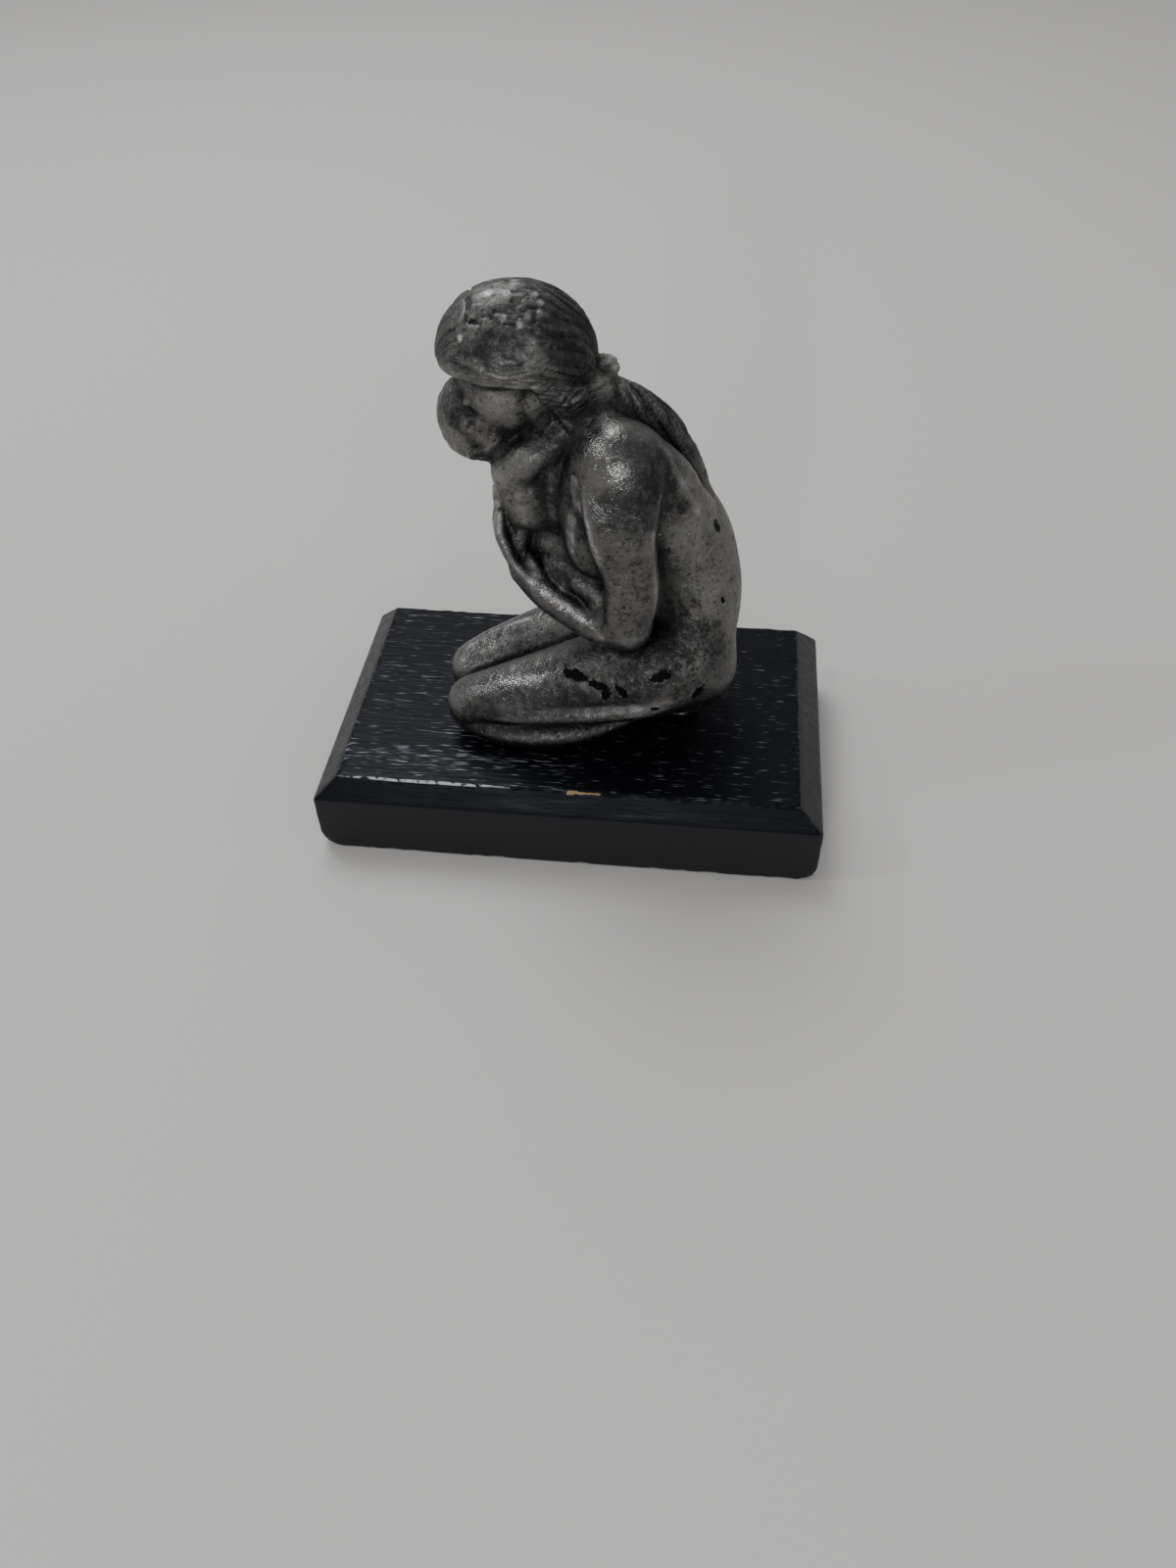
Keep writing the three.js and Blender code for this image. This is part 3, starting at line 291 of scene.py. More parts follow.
def egg(centre, radii, tilt=0, turn=0):
    """An ellipsoid, turned by tilt degrees about Y (its +X end goes down), then by turn degrees about Z."""
    ct, st = math.cos(math.radians(tilt)), math.sin(math.radians(tilt))
    cu, su = math.cos(math.radians(turn)), math.sin(math.radians(turn))
    rx, ry, rz = radii

    def solid(x, y, z):
        dx, dy, dz = x - centre[0], y - centre[1], z - centre[2]
        px, py = dx * cu + dy * su, dy * cu - dx * su
        qx, qz = px * ct - dz * st, px * st + dz * ct
        k = np.sqrt((qx / rx) ** 2 + (py / ry) ** 2 + (qz / rz) ** 2)
        g = np.sqrt((qx / rx ** 2) ** 2 + (py / ry ** 2) ** 2 + (qz / rz ** 2) ** 2)
        return k * (k - 1) / np.maximum(g, 1e-9)
    return solid


def within(points, solid, reach=4.0):
    """The solid, with the distance to the box round points [x, y, z, radius] standing in far from it."""
    p = np.array(points, float)
    low = (p[:, :3] - p[:, 3:]).min(0)
    high = (p[:, :3] + p[:, 3:]).max(0)

    def solid_or_box(x, y, z):
        gaps = [np.maximum(np.maximum(low[m] - v, v - high[m]), 0.0) for m, v in enumerate((x, y, z))]
        d = np.sqrt(gaps[0] ** 2 + gaps[1] ** 2 + gaps[2] ** 2)
        near = d <= reach
        if near.any():
            d[near] = solid(x[near], y[near], z[near])
        return d
    return solid_or_box


def smooth_line(points, steps):
    """Points on a centripetal Catmull-Rom curve, with so many steps in each span."""
    p = np.array(points, float)
    ends = [2 * p[0] - p[1], *p, 2 * p[-1] - p[-2]]
    line = []
    for j in range(len(p) - 1):
        p0, p1, p2, p3 = ends[j:j + 4]
        gaps = [max(np.linalg.norm(b - a), 1e-8) ** 0.5 for a, b in ((p0, p1), (p1, p2), (p2, p3))]
        t1 = ((p1 - p0) / gaps[0] - (p2 - p0) / (gaps[0] + gaps[1]) + (p2 - p1) / gaps[1]) * gaps[1]
        t2 = ((p2 - p1) / gaps[1] - (p3 - p1) / (gaps[1] + gaps[2]) + (p3 - p2) / gaps[2]) * gaps[1]
        for i in range(steps + (j == len(p) - 2)):
            f = i / steps
            line.append(
                p1 + t1 * f + (3 * (p2 - p1) - 2 * t1 - t2) * f ** 2 + (2 * (p1 - p2) + t1 + t2) * f ** 3
            )
    return np.array(line)


def eased_stations(values, steps):
    """Values on a smooth curve from station to station, in step with smooth_line."""
    v = [2 * values[0] - values[1], *values, 2 * values[-1] - values[-2]]
    eased = []
    for j in range(1, len(v) - 2):
        t1, t2 = (v[j + 1] - v[j - 1]) / 2, (v[j + 2] - v[j]) / 2
        rise = v[j + 1] - v[j]
        for i in range(steps + (j == len(v) - 3)):
            f = i / steps
            eased.append(v[j] + t1 * f + (3 * rise - 2 * t1 - t2) * f ** 2 + (t1 + t2 - 2 * rise) * f ** 3)
    return np.array(eased)


def limb(stations, flat=1.0, along=(0, 0, 1)):
    """A limb through stations [x, y, z, radius], made thinner along a direction by a flat share under 1."""
    steps = 4
    line = smooth_line([s[:3] for s in stations], steps)
    radii = eased_stations([s[3] for s in stations], steps)
    n = np.array(along, float) / np.linalg.norm(along)
    stretch = 1 / flat - 1

    def solid(x, y, z):
        best = np.full(x.shape, np.inf)
        for a, b, ra, rb in zip(line[:-1], line[1:], radii[:-1], radii[1:]):
            e = b - a
            px, py, pz = x - a[0], y - a[1], z - a[2]
            t = np.clip((px * e[0] + py * e[1] + pz * e[2]) / (e @ e), 0, 1)
            px, py, pz = px - t * e[0], py - t * e[1], pz - t * e[2]
            r = ra + (rb - ra) * t
            off = np.sqrt(px * px + py * py + pz * pz)
            if stretch > 0:
                more = (px * n[0] + py * n[1] + pz * n[2]) * stretch
                k = np.sqrt((px + more * n[0]) ** 2 + (py + more * n[1]) ** 2 + (pz + more * n[2]) ** 2)
                best = np.minimum(best, (k - r) * off / np.maximum(k, 1e-9))
            else:
                best = np.minimum(best, off - r)
        return best
    return within([[*p, r] for p, r in zip(line, radii)], solid)


def trunk(stations):
    """A trunk through stations [x, z, half depth, half width] in her middle plane, with oval sections."""
    steps = 6
    line = smooth_line([(s[0], 0, s[1]) for s in stations], steps)
    deep = eased_stations([s[2] for s in stations], steps)
    wide = eased_stations([s[3] for s in stations], steps)

    def solid(x, y, z):
        best = np.full(x.shape, np.inf)
        nearest = np.zeros(x.shape)
        for i in range(len(line) - 1):
            (ax, _, az), (bx, _, bz) = line[i], line[i + 1]
            ex, ez = bx - ax, bz - az
            t = np.clip(((x - ax) * ex + (z - az) * ez) / (ex * ex + ez * ez), 0, 1)
            off = np.hypot(x - ax - t * ex, z - az - t * ez)
            closer = off <= best + 1e-6
            d = deep[i] + (deep[i + 1] - deep[i]) * t
            w = wide[i] + (wide[i + 1] - wide[i]) * t
            k = np.hypot(off / d, y / w)
            g = np.maximum(np.hypot(off / d ** 2, y / w ** 2), 1e-9)
            nearest = np.where(closer, k * (k - 1) / g, nearest)
            best = np.where(closer, off, best)
        return nearest
    return solid


def both_sides(solid):
    """The solid is made for +Y, and the other side is its mirror image."""
    return lambda x, y, z: solid(x, np.abs(y), z)


# Her body, from the knees up.

def lower_body():
    """Her legs, folded under her."""
    calf = limb([
        [-20.5, 5.8, 3.6, 4.8], [-14, 9.0, 3.4, 5.1], [-7, 9.9, 3.4, 5.1],
        [0, 9.2, 3.3, 4.9], [6, 7.2, 3.2, 4.1], [11, 5.0, 3.0, 3.0],
    ], 0.72)
    foot = limb([[11, 4.8, 3.0, 2.7], [15, 3.7, 2.8, 2.4], [19.0, 3.0, 2.2, 2.0], [21.6, 2.6, 1.6, 1.4]])
    heel = ball([13.0, 4.4, 4.2], 2.6)
    knee = egg([-20.8, 5.4, 5.9], [4.9, 5.0, 5.4])
    thigh = limb([
        [-21, 5.4, 6.6, 4.6], [-17, 6.1, 8.0, 5.8], [-8, 7.0, 11.0, 6.8],
        [3, 7.8, 14.6, 8.0], [13, 8.7, 17.2, 9.2],
    ])
    # The thigh spreads a little where it presses on the calf.
    spread = limb([
        [-22.6, 7.8, 7.0, 1.7], [-14, 11.5, 8.0, 1.9], [-3, 13.8, 10.1, 2.1],
        [6, 15.2, 11.9, 2.3], [14, 15.9, 14.1, 2.4], [20, 14.2, 15.8, 2.1],
    ])
    lower = join(1.2, calf, foot, heel)
    return both_sides(join(0.5, join(0.4, lower, toes()), join(0.4, join(2.0, thigh, knee), spread)))


def toes():
    """Five toes that point back from under her, the great toe innermost."""
    sizes = [1.2, 0.95, 0.9, 0.85, 0.75]
    reach = [23.6, 23.2, 22.6, 21.9, 21.0]
    across = [1.3, 2.5, 3.4, 4.1, 4.7]
    return join(0.3, *[
        limb([[x - 3.5, y * 0.9 + 0.4, 1.9, r], [x - 1.2, y, 1.8, r * 0.92], [x, y, 1.5, r]])
        for r, x, y in zip(sizes, reach, across)
    ])


def torso():
    """Her trunk, hips, breasts and shoulder blades."""
    body = trunk([
        [20.0, 18, 10.6, 13.2], [22.6, 27, 8.8, 11.6], [22.4, 34, 8.4, 10.6], [20.0, 41.5, 8.3, 10.9],
        [14.9, 48.6, 8.2, 11.9], [9.8, 55.2, 7.8, 12.2], [5.2, 60.8, 6.2, 9.6], [2.0, 65, 5.2, 6.2],
    ])
    buttock = both_sides(egg([20.8, 7.2, 16.6], [9.7, 8.9, 9.9]))
    hip = both_sides(egg([14.5, 9.6, 17.6], [9.0, 8.2, 8.8]))
    breast = both_sides(limb([
        [3.0, 7.4, 59.0, 4.6], [2.4, 8.8, 54.0, 4.9], [2.5, 9.1, 49.0, 4.9],
        [3.5, 8.9, 44.6, 4.6], [5.4, 8.3, 40.8, 3.4],
    ]))
    blade = both_sides(limb([[20.0, 5.4, 49.0, 3.8], [15.6, 6.2, 55.2, 5.1], [10.4, 6.2, 60.4, 4.9]]))
    blade_edge = both_sides(limb([[14.6, 9.4, 60.6, 1.5], [17.6, 9.2, 56.6, 1.6], [20.2, 8.6, 51.6, 1.3]]))
    trunk_and_hips = join(3.0, body, buttock, hip)
    return join(1.4, join(2.6, trunk_and_hips, join(1.2, blade, blade_edge)), breast)


def shoulders():
    """Her shoulders, from the neck to the upper arms."""
    return both_sides(limb([
        [1.5, 3, 65.8, 4.6], [5.4, 6.4, 62.4, 5.6], [7.6, 8.8, 60.0, 7.0], [8.4, 10.0, 56.8, 7.0],
    ]))


def tipped(solid):
    """Tips a solid's upper part, so that its far side hangs lower."""
    return lambda x, y, z: solid(x, y, z + SHOULDER_TIP * y * np.clip((z - 42) / 16, 0, 1))


def spine():
    """The shallow furrow down her back."""
    return limb([
        [27.4, 0, 50.5, 0.9], [30.6, 0, 42, 1.3], [32.2, 0, 34, 1.3],
        [32.2, 0, 28, 1.1], [31.6, 0, 23, 1.2],
    ])


def fingers(knuckle, tip, spread, radius):
    """Four fingers side by side, from the knuckle line to the tips."""
    made = []
    for i, share in enumerate((-1.5, -0.5, 0.5, 1.5)):
        off = np.array(spread, float) * share
        short = (0.9, 0.2, 0.0, 0.7)[i]
        start, end = np.array(knuckle, float) + off, np.array(tip, float) + off * 0.85
        end = end - (end - start) * short * 0.16
        middle = (start + end) / 2 + np.array([-0.7, 0, 0])
        made.append(limb([[*start, radius], [*middle, radius * 1.02], [*end, radius * 0.86]]))
    return join(0.25, *made)


def finger_gaps():
    """The lines between the fingers of both hands."""
    lines = []
    for i in (-1, 0, 1):
        lines.append([
            (-12.5, -6.4 + 1.75 * i, 44.8), (-13.5, -5.6 + 1.65 * i, 48.4), (-13.8, -4.9 + 1.5 * i, 52.0),
        ])
        lines.append([
            (-12.0 - 0.5 * i, 1.0 + 1.65 * i, 43.8 + 0.5 * i),
            (-13.3 - 0.5 * i, 0.1 + 1.55 * i, 47.2 + 0.5 * i),
            (-13.9 - 0.4 * i, -0.9 + 1.4 * i, 50.6 + 0.4 * i),
        ])
    return lines


def grooves(lines, radius):
    """Thin round solids along lines, to cut away."""
    return join(0.1, *[limb([[*p, radius] for p in line]) for line in lines])


def upper_arm(side, drop):
    """A broad, flat-faced upper arm with a ridge down its front and its back, hung lower by the drop."""
    # Stations from the shoulder to the elbow: height, front, rear, outer face and inner face.
    table = smooth_line([
        (63.5, 2.2, 14.6, 12.4, 3.0), (59.5, 0.9, 15.2, 15.3, 4.0), (55.5, 1.3, 14.5, 17.2, 5.5),
        (50.0, 2.3, 13.9, 18.0, 7.0), (45.0, 4.0, 14.2, 17.7, 8.6), (41.0, 5.4, 14.6, 17.8, 9.6),
        (37.0, 5.5, 14.4, 17.7, 10.2), (33.0, 5.5, 13.6, 17.4, 10.6), (29.0, 6.3, 12.6, 16.6, 11.2),
    ], 6)[::-1]

    def slab(x, y, z):
        lifted = z + drop * np.clip((z - 38) / 18, 0, 1)
        front, rear, outer, inner = (np.interp(lifted, table[:, 0], table[:, m]) for m in (1, 2, 3, 4))
        half_x, half_y = (rear - front) / 2, (outer - inner) / 2
        u, v = (x - (front + rear) / 2) / half_x, (y * side - (outer + inner) / 2) / half_y
        k = np.maximum((u ** 4 + v ** 4) ** 0.25, 1e-6)
        slope = np.hypot(u ** 3 / half_x, v ** 3 / half_y) / k ** 3
        d = (k - 1) / np.maximum(slope, 1e-6) * 0.8
        return smooth_max(d, np.maximum(29.5 - lifted, lifted - 63.0), 3.0)

    core = limb([
        [8.2, side * 9.4, 59.6 - drop, 7.0], [8.0, side * 12.0, 50.5 - drop * 0.7, 5.2],
        [9.7, side * 13.4, 42, 4.3], [9.4, side * 14.0, 34, 4.0], [9.4, side * 14.0, 31.2, 4.1],
    ])
    return join(1.2, core, within([[8, side * 11, 62, 9], [9, side * 13, 31, 8]], slab))


def near_arm():
    """The arm on her left: it hangs to the elbow over the hip, and its hand cups the child's seat."""
    fore = limb([
        [9.3, -14.2, 31.2, 3.9], [4.8, -12.8, 30.4, 3.5], [1.0, -11.3, 31.5, 3.1],
        [-5.2, -9.6, 35.8, 3.0], [-9.0, -8.2, 39.6, 2.6],
    ])
    palm = limb([
        [-7.6, -8.4, 38.4, 3.2], [-10.6, -7.0, 42.0, 3.6],
        [-12.3, -5.9, 46.6, 3.3], [-12.4, -5.0, 49.4, 2.3],
    ], 0.42, [1, 0, 0.45])
    pad = egg([-9.9, -4.4, 44.0], [2.7, 4.2, 5.4], 12)
    four = fingers((-11.6, -6.4, 44.4), (-12.9, -4.9, 52.2), (0, 1.75, 0.1), 1.0)
    hand = join(0.5, join(1.0, palm, pad), four)
    thumb = limb([[-6.6, -9.0, 39.6, 1.8], [-7.5, -8.8, 41.6, 1.25], [-8.3, -8.0, 43.0, 0.8]])
    crook = limb([[0.6, -9.2, 38.4, 2.6], [3.4, -10.4, 36.8, 2.7], [5.0, -11.6, 34.0, 2.8]])
    return join(1.0, join(0.7, upper_arm(-1, 0), crook), join(1.4, fore, join(0.5, hand, thumb)))


def far_arm():
    """The arm on her right, whose hand holds the child beside the other one."""
    fore = limb([
        [8.9, 14.4, 32.0, 3.9], [4, 12.6, 31.2, 3.5], [-1, 10.2, 32.6, 3.1],
        [-5.5, 7.4, 35.8, 3.0], [-8.2, 4.8, 38.8, 2.7],
    ])
    palm = limb([
        [-7.0, 5.8, 37.6, 3.2], [-10.2, 2.2, 41.4, 3.6], [-12.0, 0.4, 45.6, 3.2], [-12.5, -0.6, 48.4, 2.3],
    ], 0.42, [1, 0.3, 0.45])
    four = fingers((-11.2, 1.0, 43.4), (-13.1, -0.9, 50.8), (-0.5, 1.65, 0.5), 1.0)
    hand = join(0.5, palm, four)
    crook = limb([[0.6, 8.4, 37.6, 2.4], [3.4, 9.6, 35.8, 2.3], [4.6, 11.0, 33.4, 2.4]])
    return join(1.0, join(0.7, upper_arm(1, 2.2), crook), join(1.4, fore, hand))


def above_hairline(x, z):
    """How far above (+) or below (-) the hairline a point lies. The line turns down behind the ear."""
    return z - 74.4 + 0.04 * (x + 13) + np.maximum(0, x + 6.2) * 1.3


def combed(x, y, z):
    """Place along the locks, 0 at the brow and 1 at the knot, and the angle round their axis."""
    along = (x - BROW[0]) / (KNOT[0] - BROW[0])
    axis = BROW[2] + (KNOT[2] - BROW[2]) * along
    return along, np.arctan2(y, z - axis)


def carved(solid, depth):
    """The solid with its skin cut to a depth that depends on the place."""
    def cut_in(x, y, z):
        d = solid(x, y, z)
        near = np.abs(d) < 2.0
        if near.any():
            d[near] += depth(x[near], y[near], z[near])
        return d
    return cut_in


def rumpled(solid, depth):
    """The solid with an uneven, lumpy skin."""
    def lumps(x, y, z):
        broad, fine = SURFACE_NOISE(x * 0.55, y * 0.4, z * 0.4), SURFACE_NOISE(x * 1.1, y, z)
        return depth * (broad + 0.6 * fine + 0.4)
    return carved(solid, lumps)


def ridged(n, sharp):
    """1 in a furrow where the noise crosses zero, falling to 0 on the strand beside it."""
    return np.clip(1 - np.abs(n) * sharp, 0, 1) ** 1.5


def strand_cells(a, b, seed):
    """Random cells of unit size: how far a point is inside its cell's border, and the cell's own number."""
    table = np.random.default_rng(seed).random((64, 64, 3))
    ia, ib = np.floor(a).astype(int), np.floor(b).astype(int)
    first = np.full(a.shape, 9.0)
    second = first.copy()
    own = np.zeros(a.shape)
    for da in (-1, 0, 1):
        for db in (-1, 0, 1):
            spot = table[(ia + da) % 64, (ib + db) % 64]
            far = np.hypot(ia + da + spot[..., 0] - a, ib + db + spot[..., 1] - b)
            nearer = far < first
            second = np.where(nearer, first, np.minimum(second, far))
            own = np.where(nearer, spot[..., 2], own)
            first = np.where(nearer, far, first)
    return second - first, own


def strand_place(along, angle):
    """Millimetres across and along the strands of her combed hair."""
    bend = LOCK_NOISE(angle * 1.6, along * 4.0, 0 * along)
    return np.abs(angle) * 11 + bend * 2.4, along * (KNOT[0] - BROW[0])


def hair_furrows(x, y, z):
    """How deep the hair is cut: short locks on the crown, long strands behind, fine lines at the sides."""
    along, angle = combed(x, y, z)
    side = np.abs(angle)
    across, run = strand_place(along, angle)
    across = across + np.where(angle > 0, 31.0, 0.0)

    crown = smooth_step(side, 1.16, 0.90) * smooth_step(along, 0.17, 0.25) * smooth_step(along, 0.74, 0.60)
    back = smooth_step(along, 0.45, 0.66)
    edge, own = strand_cells((across - 0.16 * run) / 1.5, run / 6.5, 5)
    chiselled = 0.16 * (1 - smooth_step(edge, 0.0, 0.34)) + 0.08 * own
    edge, own = strand_cells(across / 1.6, run / 13.0, 6)
    drawn = 0.34 * (1 - smooth_step(edge, 0.0, 0.36)) + 0.10 * own
    lined = ridged(STRAND_NOISE(across * 0.95, run * 0.13, 0 * x + 1.5), 3.2)
    band = smooth_step(np.abs(side - 1.06), 0.26, 0.05) * smooth_step(along, 0.62, 0.40)
    lumps = LOCK_NOISE(x * 0.42 + 9.3, y * 0.42, z * 0.42)

    edge, own = strand_cells(across / 2.1, run / 3.6 + 7.3, 7)
    tufted = 0.16 * (1 - smooth_step(edge, 0.0, 0.5)) + 0.24 * own
    front = smooth_step(along, 0.26, 0.18) * smooth_step(side, 1.5, 1.1)
    plain = back * drawn + (1 - back) * (0.24 * lined + 0.30 * (0.4 - lumps))
    plain = plain + (tufted - plain) * front
    depth = crown * (chiselled + 0.05) + (1 - crown) * plain
    return np.maximum(depth + band * (1.3 * np.maximum(-lumps, 0) - 0.15), 0) + 0.04


def hair_cap():
    """The outline of the hair on her head, without its furrows."""
    nape = both_sides(limb([[3.0, 2.5, 70.4, 4.2], [0, 3.9, 69.0, 4.4], [-3.5, 4.6, 69.6, 4.2]]))
    return join(1.5, egg(HEAD_CENTRE, HEAD_RADII, 4), nape)


def side_hair():
    """The hair that falls from her temples behind the jaw."""
    return both_sides(limb([
        [0.6, 5.6, 71.2, 3.0], [-2.4, 5.9, 72.0, 3.2], [-5.6, 6.0, 71.2, 3.0], [-5.4, 5.6, 68.4, 2.3],
    ]))


def side_strands(x, y, z):
    """Millimetres across and along the strands that fall behind the jaw."""
    return 0.8 * z - 0.6 * x, -0.8 * x - 0.6 * z


def head_and_neck():
    """Her bowed head: the combed hair, a plain face with closed lids, and the neck."""
    strokes = both_sides(grooves(HAIR_STROKES, STROKE_RADIUS))
    combed_cap = cut(0.2, carved(hair_cap(), hair_furrows), strokes)

    def hair(x, y, z):
        return smooth_max(combed_cap(x, y, z), -above_hairline(x, z), 1.4)

    def fallen(x, y, z):
        across, run = side_strands(x, y, z)
        edge, own = strand_cells(across / 1.5, run / 9.0, 12)
        return 0.26 * (1 - smooth_step(edge, 0.0, 0.36)) + 0.14 * own

    face = egg([-11.0, 0, 71.4], [7.2, 8.7, 7.6], -25)
    jaw = egg([-9.0, 0, 68.2], [5.0, 6.8, 4.5])
    neck = limb([[6, 0, 63, 6.2], [1.0, 0, 67.5, 5.8], [-3, 0, 71.5, 6.2]])
    lid = both_sides(egg([-15.9, 5.2, 70.8], [1.7, 0.6, 0.6], -10, -30))
    head = join(1.2, join(1.3, hair, join(1.8, face, jaw)), lid)
    return join(0.5, join(1.6, head, neck), carved(side_hair(), fallen))


def tail_coordinates(x, y, z):
    """Along the hair tail in millimetres, and the angle round its middle line."""
    dx, dz = x - 6.6, z - 70.2
    along = 0.643 * dx - 0.766 * dz
    across = 0.766 * dx + 0.643 * dz - 1.6 * np.sin(np.clip(along / 26, 0, 1) * math.pi)
    return along, np.arctan2(y - 0.6, across)


def tail_twist(x, y, z):
    """Millimetres along the hair tail, and the angle in its loosely twisted strands."""
    along, angle = tail_coordinates(x, y, z)
    return along, angle + (0.16 - 0.003 * along) * along + 0.5 * LOCK_NOISE(x * 0.3, y * 0.3, z * 0.3)


def tail_furrows(x, y, z):
    """How deep the hair tail is cut: furrows between its twisted locks, and fine strands on them."""
    along, twist = tail_twist(x, y, z)
    rope = np.clip(1 - np.abs(np.sin(twist)) * 2.4, 0, 1)
    edge, own = strand_cells(twist * 3.0 / 1.15, along / 9.0, 8)
    return 0.55 * rope + 0.36 * (1 - smooth_step(edge, 0.0, 0.38)) + 0.16 * own


def tail_outline():
    """The hair tail, without its furrows."""
    return limb([
        [6.6, 0, 70.2, 2.2], [10.4, 0.6, 66.7, 3.2], [15.4, 0.8, 62.2, 3.3],
        [18.8, 0.7, 57.3, 2.9], [21.7, 0.5, 53.0, 2.0], [23.6, 0.4, 50.0, 0.9],
    ])


def knot_outline():
    """The knot of hair, without its furrows."""
    return join(
        0.3, egg(KNOT, [3.1, 3.1, 3.2]), egg([5.7, 0.0, 73.3], [2.5, 2.6, 2.2]),
        egg([2.6, -1.7, 70.5], [2.2, 2.1, 2.3], 20), egg([5.5, -1.0, 69.9], [2.2, 2.2, 2.1]),
        egg([7.8, -0.3, 70.1], [1.7, 1.9, 1.7]), egg([3.2, 2.3, 70.2], [2.4, 2.1, 2.4]),
    )


def hair_tail():
    """The knot, and the tail of hair that hangs from it."""
    def bun_furrows(x, y, z):
        around = np.arctan2(z - KNOT[2], x - KNOT[0])
        spiral = around + 0.5 * np.hypot(x - KNOT[0], z - KNOT[2])
        edge, own = strand_cells(spiral * 2.6, y / 3.5, 9)
        return 0.40 * (1 - smooth_step(edge, 0.0, 0.40)) + 0.2 * own

    return join(0.5, carved(knot_outline(), bun_furrows), carved(tail_outline(), tail_furrows))


def beside_tail():
    """The two dark gaps along the hair tail, where it lies between her shoulder blades."""
    near = limb([
        [8.4, -4.2, 67.6, 1.3], [12.4, -3.8, 65.0, 1.7], [16.4, -3.2, 61.0, 1.7], [19.8, -2.6, 56.4, 1.3],
        [22.4, -1.8, 52.4, 0.8],
    ])
    far = limb([
        [8.8, 5.0, 66.4, 1.2], [12.8, 4.8, 63.8, 1.6], [16.8, 4.2, 59.8, 1.5], [20.0, 3.2, 55.6, 1.1],
        [22.4, 2.4, 52.2, 0.7],
    ])
    return join(0.5, near, far)


def child():
    """The child: its head under her brow, its arms round her neck, its legs folded against her belly."""
    upper = join(0.8, child_head_and_body(), child_near_arm(), child_far_arm())
    return join(0.8, upper, child_lap_and_legs(), held_against_her())


def child_head_and_body():
    """The child's head, with ears but no features, its neck and its trunk."""
    skull = rumpled(egg([-15.2, 0.4, 65.2], [7.5, 7.2, 7.9]), 0.4)
    ears = join(0.3, *[egg([-16.6, 0.4 + side * 6.3, 66.8], [1.4, 0.8, 1.8], 25) for side in (-1, 1)])
    hollows = join(0.3, *[egg([-16.4, 0.4 + side * 7.3, 67.0], [0.7, 0.5, 1.1], 25) for side in (-1, 1)])
    body = limb([[-9.2, -1.5, 59.5, 4.4], [-8.3, -2.8, 55, 5.4], [-7.6, -3.0, 50.6, 5.6]])
    neck = limb([[-13, 0, 61.5, 3.4], [-9.4, -1.5, 58.5, 3.6]])
    return join(1.2, cut(0.4, join(0.6, skull, ears), hollows), neck, body)


def child_near_arm():
    """The arm that holds her round the neck, with its hand in her hair."""
    arm = limb([
        [-10.2, -4.4, 57.2, 3.7], [-7.4, -5.4, 60.0, 3.5], [-3.4, -5.8, 62.8, 3.0], [0.2, -6.2, 65.8, 2.4],
    ])
    wrist, fist = egg([-2.6, -5.9, 66.2], [4.2, 2.7, 3.4], 12), egg([1.8, -6.6, 65.8], [3.6, 2.8, 3.6])
    return join(0.5, arm, rumpled(join(1.0, wrist, fist), 0.6))


def child_far_arm():
    """The other arm, which ends hidden at her neck."""
    return limb([
        [-10.2, 3.4, 56.8, 3.5], [-7.2, 5.4, 59.6, 3.3], [-3.2, 6.2, 62.2, 2.8], [0.4, 6.4, 64.4, 2.2],
    ])


def child_lap_and_legs():
    """The child's seat and its folded legs."""
    seat = egg([-6.2, 0.0, 43.0], [5.6, 6.9, 6.4])
    sides = both_sides(egg([-0.5, 6.4, 39.4], [7.0, 4.2, 5.0]))
    lap = join(1.0, egg([-1.0, 0.2, 40.4], [6.6, 8.8, 6.2]), sides)
    near_leg = limb([
        [-4.5, -4.6, 43.4, 3.5], [0.6, -7.4, 42.4, 3.0], [1.6, -8.2, 39.0, 2.4], [-1.6, -9.0, 37.4, 2.0],
    ])
    far_leg = limb([
        [-4.5, 4.4, 43.2, 3.2], [1.8, 6.6, 41.0, 2.7], [2.2, 7.2, 37.6, 2.2], [-1.8, 7.4, 36.2, 2.0],
    ])
    return join(0.6, join(1.0, seat, lap), near_leg, far_leg)


def held_against_her():
    """What fills the space between the child and her chest, belly and throat."""
    flanks = both_sides(limb([[-3.0, 4.6, 62.4, 3.4], [-2.4, 5.4, 57.0, 3.5], [-2.0, 5.8, 51.0, 3.5]]))
    belly, chest = egg([-0.8, 0.4, 48.6], [7.5, 8.4, 12.4]), egg([-4.8, 0, 59.6], [3.6, 4.8, 3.6])
    throat = egg([-4.4, 0.2, 64.8], [5.6, 7.4, 4.4])
    return join(1.0, join(2.0, belly, chest, flanks), throat)


def casting_solid():
    """The whole casting, flat below where it is glued to the plinth."""
    back = cut(1.6, torso(), spine())
    upper_body = cut(0.8, tipped(join(2.2, back, shoulders())), beside_tail())
    with_arms = join(0.8, join(1.6, lower_body(), upper_body), join(0.4, near_arm(), far_arm()))
    mother = join(0.8, with_arms, head_and_neck(), hair_tail())
    whole = cut(0.3, join(0.5, mother, child()), grooves(finger_gaps(), FINGER_GAP_RADIUS))
    return lambda x, y, z: np.maximum(whole(x, y, z), -GLUE_GAP - z)


# From distances to a mesh.

# How many grid points along each edge of the blocks that far points are worked out in.
BLOCK = 4


